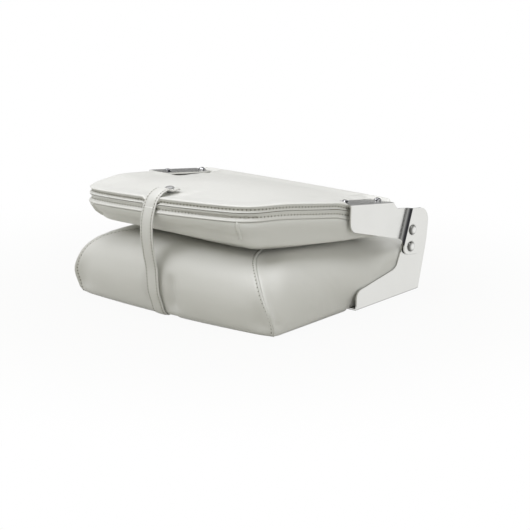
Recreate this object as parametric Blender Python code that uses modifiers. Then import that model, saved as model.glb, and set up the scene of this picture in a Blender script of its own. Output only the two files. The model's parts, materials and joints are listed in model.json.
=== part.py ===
"""Folding boat seat, folded flat with its strap snapped shut.

Metres, +Z up. The front of the seat faces -Y, and the backrest hinges at its rear, +Y.
The floor is Z = 0, under the base flanges of the two hinge brackets.
"""

import math

import bmesh
import bpy
from mathutils import Matrix, Vector

# Fits that every piece shares.
CLEARANCE = 0.0003
HOLE_CLEARANCE = 0.0005
OVERRUN = 0.004
VINYL = 0.0012
SHEET = 0.0025
BEND_RADIUS = 0.003
BOARD_THICKNESS = 0.012
SCREW_RADIUS = 0.0029
MERGE_DISTANCE = 0.00001
CREASE_DISTANCE = 0.000001
ARC_STEPS = 5
TURN_STEPS = 20

# Overall seat cushion, which the brackets and the backrest follow in width.
SEAT_WIDTH = 0.406
SEAT_DEPTH = 0.353
SEAT_HEIGHT = 0.112

# Hinge line and brackets.
HINGE_INSET = 0.0258
HINGE_BEHIND_FRONT = SEAT_DEPTH - HINGE_INSET
PIVOT_Z = 0.077
FOLDED_TILT = math.radians(7.8)
RAISE_ANGLE = math.radians(95)
BRACKET_STAND_OFF = 0.011
BRACKET_OUTER_X = SEAT_WIDTH / 2 + BRACKET_STAND_OFF
BRACKET_FLANGE_WIDTH = 0.046
BRACKET_FRONT_REACH = 0.1385
BRACKET_REAR_REACH = 0.0293
BRACKET_CORNER_REACH = 0.0486
BRACKET_NOSE_HEIGHT = 0.030
BRACKET_NOSE_RADIUS = 0.013
BRACKET_WAIST_REACH = 0.038
BRACKET_WAIST_HEIGHT = 0.0465
BRACKET_WAIST_RADIUS = 0.028
BRACKET_CORNER_RADIUS = 0.003
BRACKET_CORNER_ROUND_REACH = 0.04805
BRACKET_FLANGE_RADIUS = 0.006
BOSS_RADIUS = 0.018
BRACKET_SCREW_INSET = 0.011
BRACKET_SCREW_MARGIN = 0.028
BRACKET_SCREW_COUNT = 3
BRACKET_SCREW_RADIUS = 0.0024
BRACKET_SCREW_HEAD_RADIUS = 0.0050
BRACKET_SCREW_HEAD_DEPTH = 0.0021
BRACKET_SCREW_LENGTH = 0.014

# Rivets and washers of one hinge.
RIVET_SHANK_RADIUS = 0.004
RIVET_HEAD_RADIUS = 0.0083
RIVET_HEAD_HEIGHT = 0.0042
RIVET_INNER_HEAD_HEIGHT = 0.0030
STOP_RADIUS = 0.027
WASHER_RADIUS = 0.0105
WASHER_THICKNESS = 0.0008

# Backrest arms, in the backrest's frame: forward of the hinge line, and above it.
BACK_SIDE_INSET = 0.0005
BACK_HALF_WIDTH = SEAT_WIDTH / 2 - BACK_SIDE_INSET
ARM_FLANGE_HEIGHT = 0.0718
ARM_FLANGE_WIDTH = 0.044
ARM_FLANGE_RADIUS = 0.005
ARM_REACH = 0.163
ARM_FLANGE_START = 0.047
ARM_FRONT_CORNER_REACH = 0.1585
ARM_FRONT_CORNER_HEIGHT = 0.0305
ARM_FRONT_CORNER_RADIUS = 0.016
ARM_NOTCH_REACH = 0.037
ARM_TOP_HEIGHT = 0.062
ARM_TAIL_REACH = 0.0427
ARM_TAIL_TOP_RADIUS = 0.024
ARM_TAIL_FOOT_RADIUS = 0.022
ARM_HEEL_DEPTH = 0.0123
ARM_HEEL_REACH = 0.017
ARM_HEEL_RADIUS = 0.013
ARM_LOWER_REACH = 0.0203
ARM_LOWER_HEIGHT = 0.0119
ARM_SMALL_RADIUS = 0.003
STEP_DISTANCE = 0.0197
STEP_RUN = 0.003
STEP_ANGLE = math.radians(13.2)
ARM_SCREW_INSET = 0.0175
ARM_SCREW_X = BACK_HALF_WIDTH - ARM_SCREW_INSET
ARM_SCREW_REACHES = (0.0575, 0.1445)
ARM_SCREW_HEAD_RADIUS = 0.0062
ARM_SCREW_HEAD_HEIGHT = 0.0046
ARM_SCREW_SOCKET_RADIUS = 0.0021
ARM_SCREW_SOCKET_DEPTH = 0.0022

# Threaded inserts pressed into the boards.
INSERT_FLANGE_RADIUS = 0.009
INSERT_FLANGE_THICKNESS = 0.0012
INSERT_BARREL_RADIUS = 0.0042
INSERT_RECESS = 0.0020
INSERT_BARREL_LENGTH = 0.008
PEDESTAL_PITCH = 0.127

# Seat cushion.
SEAT_SIDE_SWELL = 0.008
SEAT_SHOULDER = 0.008
SEAT_BASE_INSET = 0.003
SEAT_HEM = 0.014
SEAT_HEM_MITRE = 0.030
SEAT_HEM_LIFT = 0.0030
SEAT_LIFT_LEAD = 0.022
SEAT_BOARD_GAP = 0.0055
SEAT_BOARD_INSET = 0.012
SEAT_BOARD_RADIUS = 0.020
SEAM_ALLOWANCE = 0.0035
SEAM_GAP = 0.0018
SEAM_LOW = 0.0042
SEAM_FULL = 0.0140
SEAT_FOAM_GAP = 0.0012
SEAT_ROWS = 21

# Each station of the seat's skin, from the front bottom edge over the top to the rear bottom
# edge: middle depth and height, seam half-width, depth and height, and side base depth.
SEAT_STATION_SHARES = (
    (-0.034, 0.000, 0.985, 0.000, 0.000, 0.000),
    (-0.060, 0.090, 1.004, -0.011, 0.090, 0.023),
    (-0.082, 0.340, 0.990, -0.036, 0.330, 0.085),
    (-0.088, 0.536, 0.948, -0.038, 0.536, 0.147),
    (-0.076, 0.750, 0.887, -0.020, 0.714, 0.212),
    (-0.034, 0.905, 0.803, 0.020, 0.848, 0.278),
    (0.034, 0.975, 0.724, 0.071, 0.905, 0.346),
    (0.127, 0.995, 0.675, 0.142, 0.935, 0.425),
    (0.283, 0.965, 0.630, 0.283, 0.930, 0.524),
    (0.510, 0.885, 0.601, 0.510, 0.870, 0.637),
    (0.708, 0.810, 0.591, 0.708, 0.805, 0.750),
    (0.868, 0.765, 0.630, 0.866, 0.800, 0.860),
    (0.930, 0.725, 0.680, 0.926, 0.800, 0.905),
    (0.976, 0.640, 0.760, 0.970, 0.730, 0.940),
    (0.998, 0.400, 0.830, 0.984, 0.390, 0.955),
    (0.996, 0.120, 0.940, 0.990, 0.120, 0.974),
    (0.986, 0.032, 0.970, 0.982, 0.036, 0.982),
)
SEAT_COLUMN_SHARES = (-1.0, -0.84, -0.62, -0.40, -0.22, -0.13, 0.05, 0.14, 0.32, 0.54, 0.70, 0.84, 1.0)
SEAT_SIDE_COLUMNS = 6
SEAT_CROWN_POWER = 2.2

# How a side panel swells between its seam and its base: control points of its curve.
SIDE_SWELL_START_SHARE = 0.3
SIDE_OUT_SHARE = 0.85
SIDE_LEAD_SHARE = 0.10
SIDE_LOW_LEAD_SHARE = 0.15

# Backrest, in its own frame: forward of the hinge line along the panel, and above it.
BACK_START = 0.036
BACK_OVERHANG = 0.0468
BACK_FRONT = HINGE_BEHIND_FRONT + BACK_OVERHANG
BACK_FRONT_BOW = 0.020
BACK_TAPER = 0.040
BACK_TAPER_START = 0.140
BACK_TAPER_POWER = 1.35
BACK_REAR_CORNER = 0.022
BACK_FRONT_CORNER = 0.034
BACK_TOP = 0.0760
BACK_CROWN = 0.0012
BACK_DROOP = 0.0135
BACK_BOTTOM_DROOP = 0.0040
BACK_DROOP_RUN = 0.116
BACK_DROOP_START = BACK_FRONT - BACK_DROOP_RUN
BACK_PRESS = 0.0076
BACK_BAND_PRESS = 0.0070
BACK_PRESS_WIDTH = 0.0545
BACK_PRESS_HALF_WIDTH = BACK_HALF_WIDTH - BACK_PRESS_WIDTH
BACK_PRESS_FADE = 0.035
BACK_PRESS_REACH = 0.168
BACK_BOARD_TOP = 0.0600
BACK_RIM_EDGE = 0.0730
BACK_SLIT = 0.0647
BACK_BAND_EDGE = 0.0515
BACK_BOTTOM = 0.0110
BACK_BOTTOM_CROWN = 0.0040
ZIP_SLIT_WIDTH = 0.0009
ZIP_CHAIN_WIDTH = 0.005
ZIP_CHAIN_THICKNESS = 0.0008
ZIP_PULL_WIDTH = 0.006
ZIP_PULL_LENGTH = 0.022
BACK_HINGE_EDGE_SHARES = (0.0, 0.38, 0.72, 0.90)
BACK_CORNER_POINTS = 3
BACK_SIDE_POINTS = 5
BACK_FRONT_POINTS = 4

# Rings of each backrest cover: outline scale, and height as a share of that cover's own rise.
REAR_COVER_RING_SHARES = (
    (1.000, 0.00), (1.002, 0.40), (0.996, 0.74), (0.984, 0.86), (0.945, 1.00), (0.830, 1.00),
)
REAR_COVER_CROWN_SHARES = (0.72, 0.55, 0.30)
FRONT_COVER_RING_SHARES = (
    (1.000, 1.00), (1.008, 0.82), (1.009, 0.50), (1.002, 0.25), (0.985, 0.09), (0.955, 0.02),
    (0.86, 0.00),
)
FRONT_COVER_CROWN_SHARES = (0.62, 0.34, 0.12)
FRONT_FOAM_RING_SHARES = (
    (0.950, 1.00), (0.985, 0.85), (0.988, 0.50), (0.980, 0.27), (0.960, 0.13), (0.86, 0.07),
)
BAND_SWELL_SHARE = 1.006
BOARD_SHARE = 0.965
PAD_EDGE_SHARE = 0.6
CHAIN_SHARE = 0.991

# Strap and its press-stud.
STRAP_X = -0.008
STRAP_WIDTH = 0.0255
STRAP_THICKNESS = 0.0020
STRAP_TAIL = 0.070
STRAP_ROOT_HEIGHT = 0.0014
STRAP_TAIL_HEIGHT = 0.0029
STRAP_TAIL_RISE_START = 0.018
STRAP_TAIL_RISE_END = 0.030
STRAP_SETBACK = 0.0090
STRAP_SEAT_PRESS = 0.0032
STRAP_PRESS_SHARES = (-0.13, 0.05)
STRAP_PRESS_FADE_SHARE = 0.09
STRAP_SCREW_HEAD_RADIUS = 0.0048
STRAP_SCREW_INSET = 0.014
SNAP_INSET = 0.040
SNAP_REACH = BACK_FRONT - SNAP_INSET
SNAP_STAND_OFF = 0.0046
SNAP_CAP_RADIUS = 0.0074
SNAP_CAP_HEIGHT = 0.0030
SNAP_SOCKET_RADIUS = 0.0058
SNAP_POST_RADIUS = 0.0022
SNAP_STUD_RADIUS = 0.0050
SNAP_STUD_KNOB_RADIUS = 0.0024
STRAP_END_INSET = 0.054
STRAP_END_REACH = BACK_FRONT - STRAP_END_INSET
STRAP_ROUTE_POINTS = 26
# The strap's route up the front, from its root: how far before the seat's front line, as a share
# of the seat's depth, and how high, as a share of its height.
STRAP_WRAP_OFFSETS = ((0.0036, -0.0100), (0.0030, -0.0028), (-0.0015, 0.0035), (-0.0110, 0.0065))
STRAP_FRONT_SHARES = (
    (0.05235, 0.022), (0.07488, 0.095), (0.09645, 0.357), (0.11041, 0.670), (0.12469, 0.900),
    (0.13611, 1.152), (0.13326, 1.384), (0.11612, 1.562),
)

# The origin is midway between the strap's front and the rounded rear corners of the brackets.
STRAP_FRONT_REACH = max(share for share, _ in STRAP_FRONT_SHARES) * SEAT_DEPTH + STRAP_THICKNESS / 2
SEAT_FRONT_Y = (STRAP_FRONT_REACH - HINGE_BEHIND_FRONT - BRACKET_CORNER_ROUND_REACH) / 2
PIVOT_Y = SEAT_FRONT_Y + HINGE_BEHIND_FRONT
HINGE = Vector((0, PIVOT_Y, PIVOT_Z))

parts = bpy.data.collections.new("folding_boat_seat")
cutters = bpy.data.collections.new("cutters")


def clear_scene():
    for item in list(bpy.data.objects):
        bpy.data.objects.remove(item, do_unlink=True)
    for collection in (parts, cutters):
        bpy.context.scene.collection.children.link(collection)


def material(name, color, roughness, metallic=0.0):
    found = bpy.data.materials.get(name)
    if found:
        return found
    made = bpy.data.materials.new(name)
    made.use_nodes = True
    shader = made.node_tree.nodes["Principled BSDF"]
    shader.inputs["Base Color"].default_value = (*color, 1.0)
    shader.inputs["Roughness"].default_value = roughness
    shader.inputs["Metallic"].default_value = metallic
    return made


def vinyl():
    return material("white_vinyl", (0.78, 0.77, 0.72), 0.45)


def steel():
    return material("polished_steel", (0.70, 0.70, 0.68), 0.20, 1.0)


def chrome():
    return material("chrome", (0.80, 0.80, 0.80), 0.08, 1.0)


def plywood():
    return material("plywood", (0.45, 0.30, 0.17), 0.70)


def foam():
    return material("foam", (0.80, 0.72, 0.50), 0.95)


def zinc():
    return material("zinc_plate", (0.62, 0.62, 0.60), 0.35, 1.0)


def nylon():
    return material("pale_nylon", (0.74, 0.73, 0.70), 0.50)


def object_from(name, mesh, finish, collection=parts):
    made = bpy.data.objects.new(name, mesh)
    collection.objects.link(made)
    if finish:
        mesh.materials.append(finish)
    return made


def mesh_from(form, name):
    bmesh.ops.recalc_face_normals(form, faces=form.faces)
    mesh = bpy.data.meshes.new(name)
    form.to_mesh(mesh)
    form.free()
    return mesh


def smooth(made, degrees=40):
    made.data.shade_smooth()
    made.data.set_sharp_from_angle(angle=math.radians(degrees))


def solidify(made, thickness, even=True):
    layer = made.modifiers.new("thickness", "SOLIDIFY")
    layer.thickness = thickness
    layer.offset = -1
    layer.use_even_offset = even


def cut(made, cutter):
    hole = made.modifiers.new("cut", "BOOLEAN")
    hole.operation = "DIFFERENCE"
    hole.solver = "EXACT"
    hole.object = cutter


def cylinder_cutter(name, radius, length, matrix, sides=TURN_STEPS):
    """A cutter centred on the matrix's origin, along its Z axis."""
    form = bmesh.new()
    bmesh.ops.create_cone(
        form, cap_ends=True, segments=sides, radius1=radius, radius2=radius, depth=length
    )
    made = object_from(name, mesh_from(form, name), None, cutters)
    made.matrix_world = matrix
    made.hide_render = True
    made.display_type = "WIRE"
    return made


def drill(made, name, radius, depth, matrix, sides=TURN_STEPS):
    """A clearance hole for a shank of the given radius, this deep to both sides of the matrix's origin."""
    cut(made, cylinder_cutter(name, radius + HOLE_CLEARANCE, 2 * depth, matrix, sides))


def turned(name, profile, finish, matrix, steps=TURN_STEPS):
    """A profile of (radius, height) pairs from top to bottom, turned about the matrix's Z axis."""
    mesh = bpy.data.meshes.new(name)
    points = [(radius, 0, height) for radius, height in profile]
    mesh.from_pydata(points, [(i, i + 1) for i in range(len(points) - 1)], [])
    made = object_from(name, mesh, finish)
    screw = made.modifiers.new("turn", "SCREW")
    screw.steps = steps
    screw.render_steps = steps
    screw.use_merge_vertices = True
    screw.merge_threshold = MERGE_DISTANCE
    screw.use_smooth_shade = False
    made.matrix_world = matrix
    return made


def dome(radius, height, foot, steps=4):
    """Profile points of a low dome, from its crown down to its foot."""
    turns = [math.pi / 2 * i / steps for i in range(steps + 1)]
    return [(radius * math.sin(t), foot + height * math.cos(t)) for t in turns]


def smooth_between(low, high, value):
    t = min(max((value - low) / (high - low), 0.0), 1.0)
    return t * t * (3 - 2 * t)


def spline(points, count):
    """Evenly counted points on a Catmull-Rom curve through the given points of any dimension."""
    ends = [points[0]] + list(points) + [points[-1]]
    found = []
    for i in range(count):
        place = i * (len(points) - 1) / (count - 1)
        k = min(int(place), len(points) - 2)
        t = place - k
        weights = (
            (-t + 2 * t**2 - t**3) / 2, (2 - 5 * t**2 + 3 * t**3) / 2,
            (t + 4 * t**2 - 3 * t**3) / 2, (t**3 - t**2) / 2,
        )
        found.append(tuple(
            sum(w * value for w, value in zip(weights, values)) for values in zip(*ends[k:k + 4])
        ))
    return found


def rounded(corners, steps=ARC_STEPS):
    """A closed outline through corners of (x, y, radius), each rounded by an arc."""
    found = []
    count = len(corners)
    for i, (x, y, radius) in enumerate(corners):
        here = Vector((x, y))
        before = Vector(corners[i - 1][:2]) - here
        after = Vector(corners[(i + 1) % count][:2]) - here
        if radius == 0:
            found.append(here)
            continue
        half = before.angle(after) / 2
        back = radius / math.tan(half)
        start = here + before.normalized() * back
        end = here + after.normalized() * back
        bisector = (before.normalized() + after.normalized()).normalized()
        middle = here + bisector * radius / math.sin(half)
        first, last = start - middle, end - middle
        turn = math.atan2(first.x * last.y - first.y * last.x, first.dot(last))
        for k in range(steps + 1):
            found.append(middle + Matrix.Rotation(turn * k / steps, 2) @ first)
    return found


def grid_surface(name, rows, finish, reverse=False):
    """An open surface through rows of points, each row as long as the next."""
    form = bmesh.new()
    across, along = len(rows[0]), len(rows)
    bmesh.ops.create_grid(form, x_segments=across - 1, y_segments=along - 1)
    form.verts.ensure_lookup_table()
    for i, row in enumerate(rows):
        for j, point in enumerate(row):
            form.verts[i * across + j].co = point
    bmesh.ops.remove_doubles(form, verts=form.verts, dist=MERGE_DISTANCE)
    if reverse:
        bmesh.ops.reverse_faces(form, faces=form.faces)
    mesh = bpy.data.meshes.new(name)
    form.to_mesh(mesh)
    form.free()
    return object_from(name, mesh, finish)


def loft(name, rings, finish, cap_start=False, cap_end=False):
    """A surface through closed rings of points. The first ring's points run anticlockwise seen
    from the last ring, so that its faces point out."""
    form = bmesh.new()
    levels = [[form.verts.new(point) for point in ring] for ring in rings]
    count = len(rings[0])
    for low, high in zip(levels, levels[1:]):
        for i in range(count):
            k = (i + 1) % count
            form.faces.new((low[i], low[k], high[k], high[i]))
    if cap_start:
        form.faces.new(list(reversed(levels[0])))
    if cap_end:
        form.faces.new(levels[-1])
    mesh = bpy.data.meshes.new(name)
    form.to_mesh(mesh)
    form.free()
    return object_from(name, mesh, finish)


def bent_sheet(name, outline, bends, place, finish, side):
    """A flat blank with the given outline, creased along bends of (point, direction across) and
    carried by place() into its bent shape, then thickened inwards."""
    form = bmesh.new()
    verts = [form.verts.new((u, v, 0)) for u, v in outline]
    form.faces.new(verts)
    for point, across in bends:
        everything = list(form.verts) + list(form.edges) + list(form.faces)
        bmesh.ops.bisect_plane(
            form, geom=everything, plane_co=(*point, 0), plane_no=(*across, 0), dist=CREASE_DISTANCE
        )
    bmesh.ops.triangulate(form, faces=[face for face in form.faces if len(face.verts) > 4])
    for vert in form.verts:
        vert.co = place(vert.co.x, vert.co.y)
    form.normal_update()
    outward = sum((face.normal.x * face.calc_area() for face in form.faces), 0.0)
    if outward * side < 0:
        bmesh.ops.reverse_faces(form, faces=form.faces)
    mesh = bpy.data.meshes.new(name)
    form.to_mesh(mesh)
    form.free()
    made = object_from(name, mesh, finish)
    solidify(made, SHEET)
    return made


def side_name(side):
    return "right" if side > 0 else "left"


def sideways(side, point):
    """A frame at the point whose Z axis points out of the given side."""
    turn = Matrix.Rotation(side * math.pi / 2, 4, "Y")
    return Matrix.Translation(point) @ turn


# Seat cushion: board, foam and three sewn cover panels.

def bracket_lift(y):
    """How far the cover's lower edge rides up where it rests on a bracket's flange."""
    start = PIVOT_Y - BRACKET_FRONT_REACH
    full = SHEET + CLEARANCE
    return full * smooth_between(start - 2 * SEAT_LIFT_LEAD, start - SEAT_LIFT_LEAD, y)


def strap_lift(share, y):
    """How far the strap presses up the cover's front lower edge."""
    if y > 0:
        return 0.0
    low, high = STRAP_PRESS_SHARES
    fade = STRAP_PRESS_FADE_SHARE
    rise = smooth_between(low - fade, low, share) * (1 - smooth_between(high, high + fade, share))
    return STRAP_SEAT_PRESS * rise


def seat_station(shares):
    half = SEAT_WIDTH / 2
    mid_y, mid_z, seam_x, seam_y, seam_z, base_y = shares
    middle = Vector((0, SEAT_FRONT_Y + mid_y * SEAT_DEPTH, mid_z * SEAT_HEIGHT))
    seam = Vector((seam_x * half, SEAT_FRONT_Y + seam_y * SEAT_DEPTH, seam_z * SEAT_HEIGHT))
    base = Vector((half - SEAT_BASE_INSET, SEAT_FRONT_Y + base_y * SEAT_DEPTH, 0))
    return middle, seam, base


def on_floor_or_flange(point, share=None):
    least = bracket_lift(point.y) + (strap_lift(share, point.y) if share is not None else 0)
    point.z = max(point.z, least)
    return point


def seat_center_row(middle, seam):
    row = []
    for share in SEAT_COLUMN_SHARES:
        bend = abs(share) ** SEAT_CROWN_POWER
        y = middle.y + (seam.y - middle.y) * share**2
        point = Vector((share * seam.x, y, middle.z + (seam.z - middle.z) * bend))
        row.append(on_floor_or_flange(point, share))
    return row


def hem_row(row, toward, ends=None):
    """The strip of cover that is folded under the board, mitred at the corners."""
    found = []
    for point in row:
        inward = toward - point
        inward.z = 0
        if ends:
            room = SEAT_DEPTH / 2 - abs(point.y - ends.y)
        else:
            inward.x = 0
            room = SEAT_WIDTH / 2 - SEAT_BASE_INSET - abs(point.x)
        width = SEAT_HEM * smooth_between(0, SEAT_HEM_MITRE, room)
        inward = inward.normalized() * width
        found.append(Vector((point.x + inward.x, point.y + inward.y, max(SEAT_HEM_LIFT, point.z))))
    return found


def seat_side_row(seam, base):
    """Points from the seam out over the side and down to the base, before the hem."""
    base = on_floor_or_flange(base.copy())
    seam = on_floor_or_flange(seam.copy())
    widest = SEAT_WIDTH / 2 + SEAT_SIDE_SWELL
    swell = smooth_between(0, SIDE_SWELL_START_SHARE * SEAT_HEIGHT, seam.z)
    run = base - seam
    out = seam + Vector((
        SIDE_OUT_SHARE * swell * (widest - seam.x), SIDE_LEAD_SHARE * run.y, swell * SEAT_SHOULDER,
    ))
    low = base + Vector((swell * SEAT_SIDE_SWELL, -SIDE_LOW_LEAD_SHARE * run.y, -run.z / 2))
    row = []
    for k in range(SEAT_SIDE_COLUMNS):
        t = k / (SEAT_SIDE_COLUMNS - 1)
        near, far = seam.lerp(out, t), low.lerp(base, t)
        middle = out.lerp(low, t)
        row.append(near.lerp(middle, t).lerp(middle.lerp(far, t), t))
    return row


def seat_skin(stations):
    """Rows of the whole skin, each from one base edge over both seams to the other."""
    skin = []
    for middle, seam, base in stations:
        side = seat_side_row(seam, base)
        skin.append([mirrored(p) for p in reversed(side)] + seat_center_row(middle, seam)[1:-1] + side)
    return skin


def seat_directions(skin, i, j):
    """Along the row, and out of the skin, at one of its points."""
    row = skin[i]
    along = row[min(j + 1, len(row) - 1)] - row[max(j - 1, 0)]
    onward = skin[min(i + 1, len(skin) - 1)][j] - skin[max(i - 1, 0)][j]
    return along.normalized(), along.cross(onward).normalized()


def seat_rows(skin, i):
    """One row of the centre panel, and one of the right-hand side panel from its seam outwards.

    At the seam each panel turns in, and ends a seam allowance deeper.
    """
    seam = len(skin[i]) - SEAT_SIDE_COLUMNS
    point = skin[i][seam]
    along, out = seat_directions(skin, i, seam)
    apart = along * SEAM_GAP / 2
    deep = -out * SEAM_ALLOWANCE * smooth_between(SEAM_LOW, SEAM_FULL, point.z)
    center = [on_floor_or_flange(p) for p in (point - apart, point - apart + deep)]
    side = [on_floor_or_flange(p) for p in (point + apart + deep, point + apart)]
    between = skin[i][SEAT_SIDE_COLUMNS:seam]
    return [mirrored(p) for p in reversed(center)] + between + center, side + skin[i][seam + 1:]


def side_tip(row, heart):
    """Where a side panel comes to a point at the end of its seam, beside the centre panel."""
    tip = row[0].copy()
    tip.y += math.copysign(2 * VINYL, heart.y - tip.y)
    tip.z += 2 * VINYL
    return [tip] * len(row)


def mirrored(point):
    return Vector((-point.x, point.y, point.z))


def seat_covers():
    stations = [seat_station(shares) for shares in spline(SEAT_STATION_SHARES, SEAT_ROWS)]
    heart = Vector((0, SEAT_FRONT_Y + SEAT_DEPTH / 2, 0))
    skin = seat_skin(stations)
    rows = [seat_rows(skin, i) for i in range(len(skin))]
    middle_rows = [center for center, _ in rows]
    middle_rows = [hem_row(middle_rows[0], heart)] + middle_rows + [hem_row(middle_rows[-1], heart)]
    center = grid_surface("seat_center_cover", middle_rows, vinyl())
    solidify(center, VINYL, even=False)
    smooth(center)
    side_rows = []
    for _, row in rows:
        side_rows.append(row + hem_row(row[-1:], Vector((0, row[-1].y, 0)), ends=heart))
    side_rows[0] = side_tip(side_rows[0], heart)
    side_rows[-1] = side_tip(side_rows[-1], heart)
    for side in (-1, 1):
        rows = side_rows if side > 0 else [[mirrored(point) for point in row] for row in side_rows]
        name = f"seat_side_cover_{side_name(side)}"
        cover = grid_surface(name, rows, vinyl(), reverse=side < 0)
        solidify(cover, VINYL, even=False)
        smooth(cover)
    seat_foam(skin)


def rounded_plate(name, half_width, front, rear, radius, low, high, finish):
    outline = rounded([
        (-half_width, front, radius), (half_width, front, radius),
        (half_width, rear, radius), (-half_width, rear, radius),
    ])
    rings = [[(x, y, z) for x, y in outline] for z in (low, high)]
    return loft(name, rings, finish, cap_start=True, cap_end=True)


def seat_board():
    low = SEAT_BOARD_GAP
    front, rear = SEAT_FRONT_Y + SEAT_BOARD_INSET / 2, SEAT_FRONT_Y + SEAT_DEPTH - SEAT_BOARD_INSET
    board = rounded_plate(
        "seat_base_board", SEAT_WIDTH / 2 - SEAT_BOARD_INSET, front, rear, SEAT_BOARD_RADIUS,
        low, low + BOARD_THICKNESS, plywood(),
    )
    for x, y in pedestal_places():
        insert_hole(board, Matrix.Translation((x, y, low + BOARD_THICKNESS)))
    for _, place in bracket_screw_places():
        depth = BRACKET_SCREW_LENGTH + OVERRUN
        drill(board, "bracket_screw_hole", BRACKET_SCREW_RADIUS, depth, Matrix.Translation((*place, 0)), 12)
    return board


def seat_foam(skin):
    """The foam fills the covers: its rings are their rows, drawn in by the vinyl and a gap."""
    low = SEAT_BOARD_GAP + BOARD_THICKNESS + CLEARANCE
    count = len(skin[0])
    seams = (SEAT_SIDE_COLUMNS - 1, count - SEAT_SIDE_COLUMNS)
    rings = []
    for i, row in enumerate(skin):
        if row[count // 2].z < low + SEAM_ALLOWANCE:
            continue
        ring = []
        for j, point in enumerate(row):
            depth = VINYL + SEAT_FOAM_GAP + (SEAM_ALLOWANCE if j in seams else 0)
            inner = point - seat_directions(skin, i, j)[1] * depth
            inner.z = max(inner.z, low)
            ring.append(inner)
        rings.append(ring)
    made = loft("seat_foam", rings, foam(), cap_start=True, cap_end=True)
    form = bmesh.new()
    form.from_mesh(made.data)
    bmesh.ops.remove_doubles(form, verts=form.verts, dist=CLEARANCE)
    bmesh.ops.recalc_face_normals(form, faces=form.faces)
    form.to_mesh(made.data)
    form.free()
    smooth(made)


# Threaded inserts.

def pedestal_places():
    middle = SEAT_FRONT_Y + SEAT_DEPTH / 2
    half = PEDESTAL_PITCH / 2
    return [(x, middle + y) for x in (-half, half) for y in (-half, half)]


def insert_hole(board, matrix):
    """A through hole and the recess for the insert's flange. The matrix's Z points out of the face."""
    drill(board, "insert_bore", INSERT_BARREL_RADIUS, BOARD_THICKNESS + OVERRUN, matrix)
    drill(board, "insert_recess", INSERT_FLANGE_RADIUS, INSERT_RECESS, matrix)


def threaded_insert(name, matrix, bore):
    top = -CLEARANCE
    under = top - INSERT_FLANGE_THICKNESS
    foot = under - INSERT_BARREL_LENGTH
    profile = [
        (bore, top), (INSERT_FLANGE_RADIUS, top), (INSERT_FLANGE_RADIUS, under),
        (INSERT_BARREL_RADIUS, under), (INSERT_BARREL_RADIUS, foot), (bore, foot), (bore, top),
    ]
    return turned(name, profile, zinc(), matrix, 12)


def pedestal_inserts():
    for number, (x, y) in enumerate(pedestal_places(), 1):
        top = SEAT_BOARD_GAP + BOARD_THICKNESS
        threaded_insert(f"pedestal_insert_{number}", Matrix.Translation((x, y, top)), SCREW_RADIUS)


# Hinge brackets, screwed up into the seat's board.

def bracket_screw_places():
    front = PIVOT_Y - BRACKET_FRONT_REACH + BRACKET_SCREW_MARGIN
    rear = PIVOT_Y + BRACKET_REAR_REACH - BRACKET_SCREW_MARGIN
    x = BRACKET_OUTER_X - BRACKET_FLANGE_WIDTH + BRACKET_SCREW_INSET
    for side in (-1, 1):
        for k in range(BRACKET_SCREW_COUNT):
            y = front + (rear - front) * k / (BRACKET_SCREW_COUNT - 1)
            yield side, Vector((side * x, y))


def polar(radius, degrees):
    turn = math.radians(degrees)
    return radius * math.cos(turn), PIVOT_Z + radius * math.sin(turn)


def stop_polar():
    """Direction of the stop rivet when the backrest is up, in degrees above the rearward line."""
    return 90 - math.degrees(FOLDED_TILT + RAISE_ANGLE)


def bracket_outline():
    """Points of (distance behind the hinge line, height), with the base flange unrolled below."""
    bend = BEND_RADIUS * math.pi / 2
    flange = BEND_RADIUS - bend - (BRACKET_FLANGE_WIDTH - BEND_RADIUS)
    points = rounded([
        (-BRACKET_FRONT_REACH, flange, BRACKET_FLANGE_RADIUS),
        (BRACKET_REAR_REACH, flange, BRACKET_FLANGE_RADIUS),
        (BRACKET_REAR_REACH, BEND_RADIUS, 0),
        (*bracket_rear_corner(), BRACKET_CORNER_RADIUS),
        (*ear_top(), 0),
        (0, PIVOT_Z, 0),
        (-BRACKET_WAIST_REACH, BRACKET_WAIST_HEIGHT, BRACKET_WAIST_RADIUS),
        (-BRACKET_FRONT_REACH, BRACKET_NOSE_HEIGHT, BRACKET_NOSE_RADIUS),
        (-BRACKET_FRONT_REACH, BEND_RADIUS, 0),
    ])
    center = next(i for i, p in enumerate(points) if (p - Vector((0, PIVOT_Z))).length < CLEARANCE)
    points = [tuple(p) for p in points]
    return points[:center] + pocket_and_boss() + points[center + 1:]


def edge_line_height(reach):
    """Height of the slanted top edge that the raised arm's step comes down on."""
    normal = math.radians(180) - FOLDED_TILT - STEP_ANGLE - RAISE_ANGLE
    return PIVOT_Z + (BOSS_RADIUS - reach * math.cos(normal)) / math.sin(normal)


def bracket_rear_corner():
    return BRACKET_CORNER_REACH, edge_line_height(BRACKET_CORNER_REACH)


def ear_radius():
    return STOP_RADIUS + RIVET_SHANK_RADIUS + 2 * CLEARANCE


def ear_top():
    normal = 180 - math.degrees(FOLDED_TILT + STEP_ANGLE + RAISE_ANGLE)
    return polar(ear_radius(), normal - math.degrees(math.acos(BOSS_RADIUS / ear_radius())))


def pocket_and_boss():
    """The pocket that the stop rivet drops into, then round the boss to its front side."""
    normal = 180 - math.degrees(FOLDED_TILT + STEP_ANGLE + RAISE_ANGLE)
    top = normal - math.degrees(math.acos(BOSS_RADIUS / ear_radius()))
    floor = stop_polar() - math.degrees(math.asin((RIVET_SHANK_RADIUS + CLEARANCE) / STOP_RADIUS))
    ear = [polar(ear_radius(), top + (floor - top) * k / ARC_STEPS) for k in range(1, ARC_STEPS + 1)]
    front = 180 - math.degrees(FOLDED_TILT)
    steps = 3 * ARC_STEPS
    boss = [polar(BOSS_RADIUS, floor + (front - floor) * k / steps) for k in range(steps + 1)]
    return ear + boss


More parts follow.
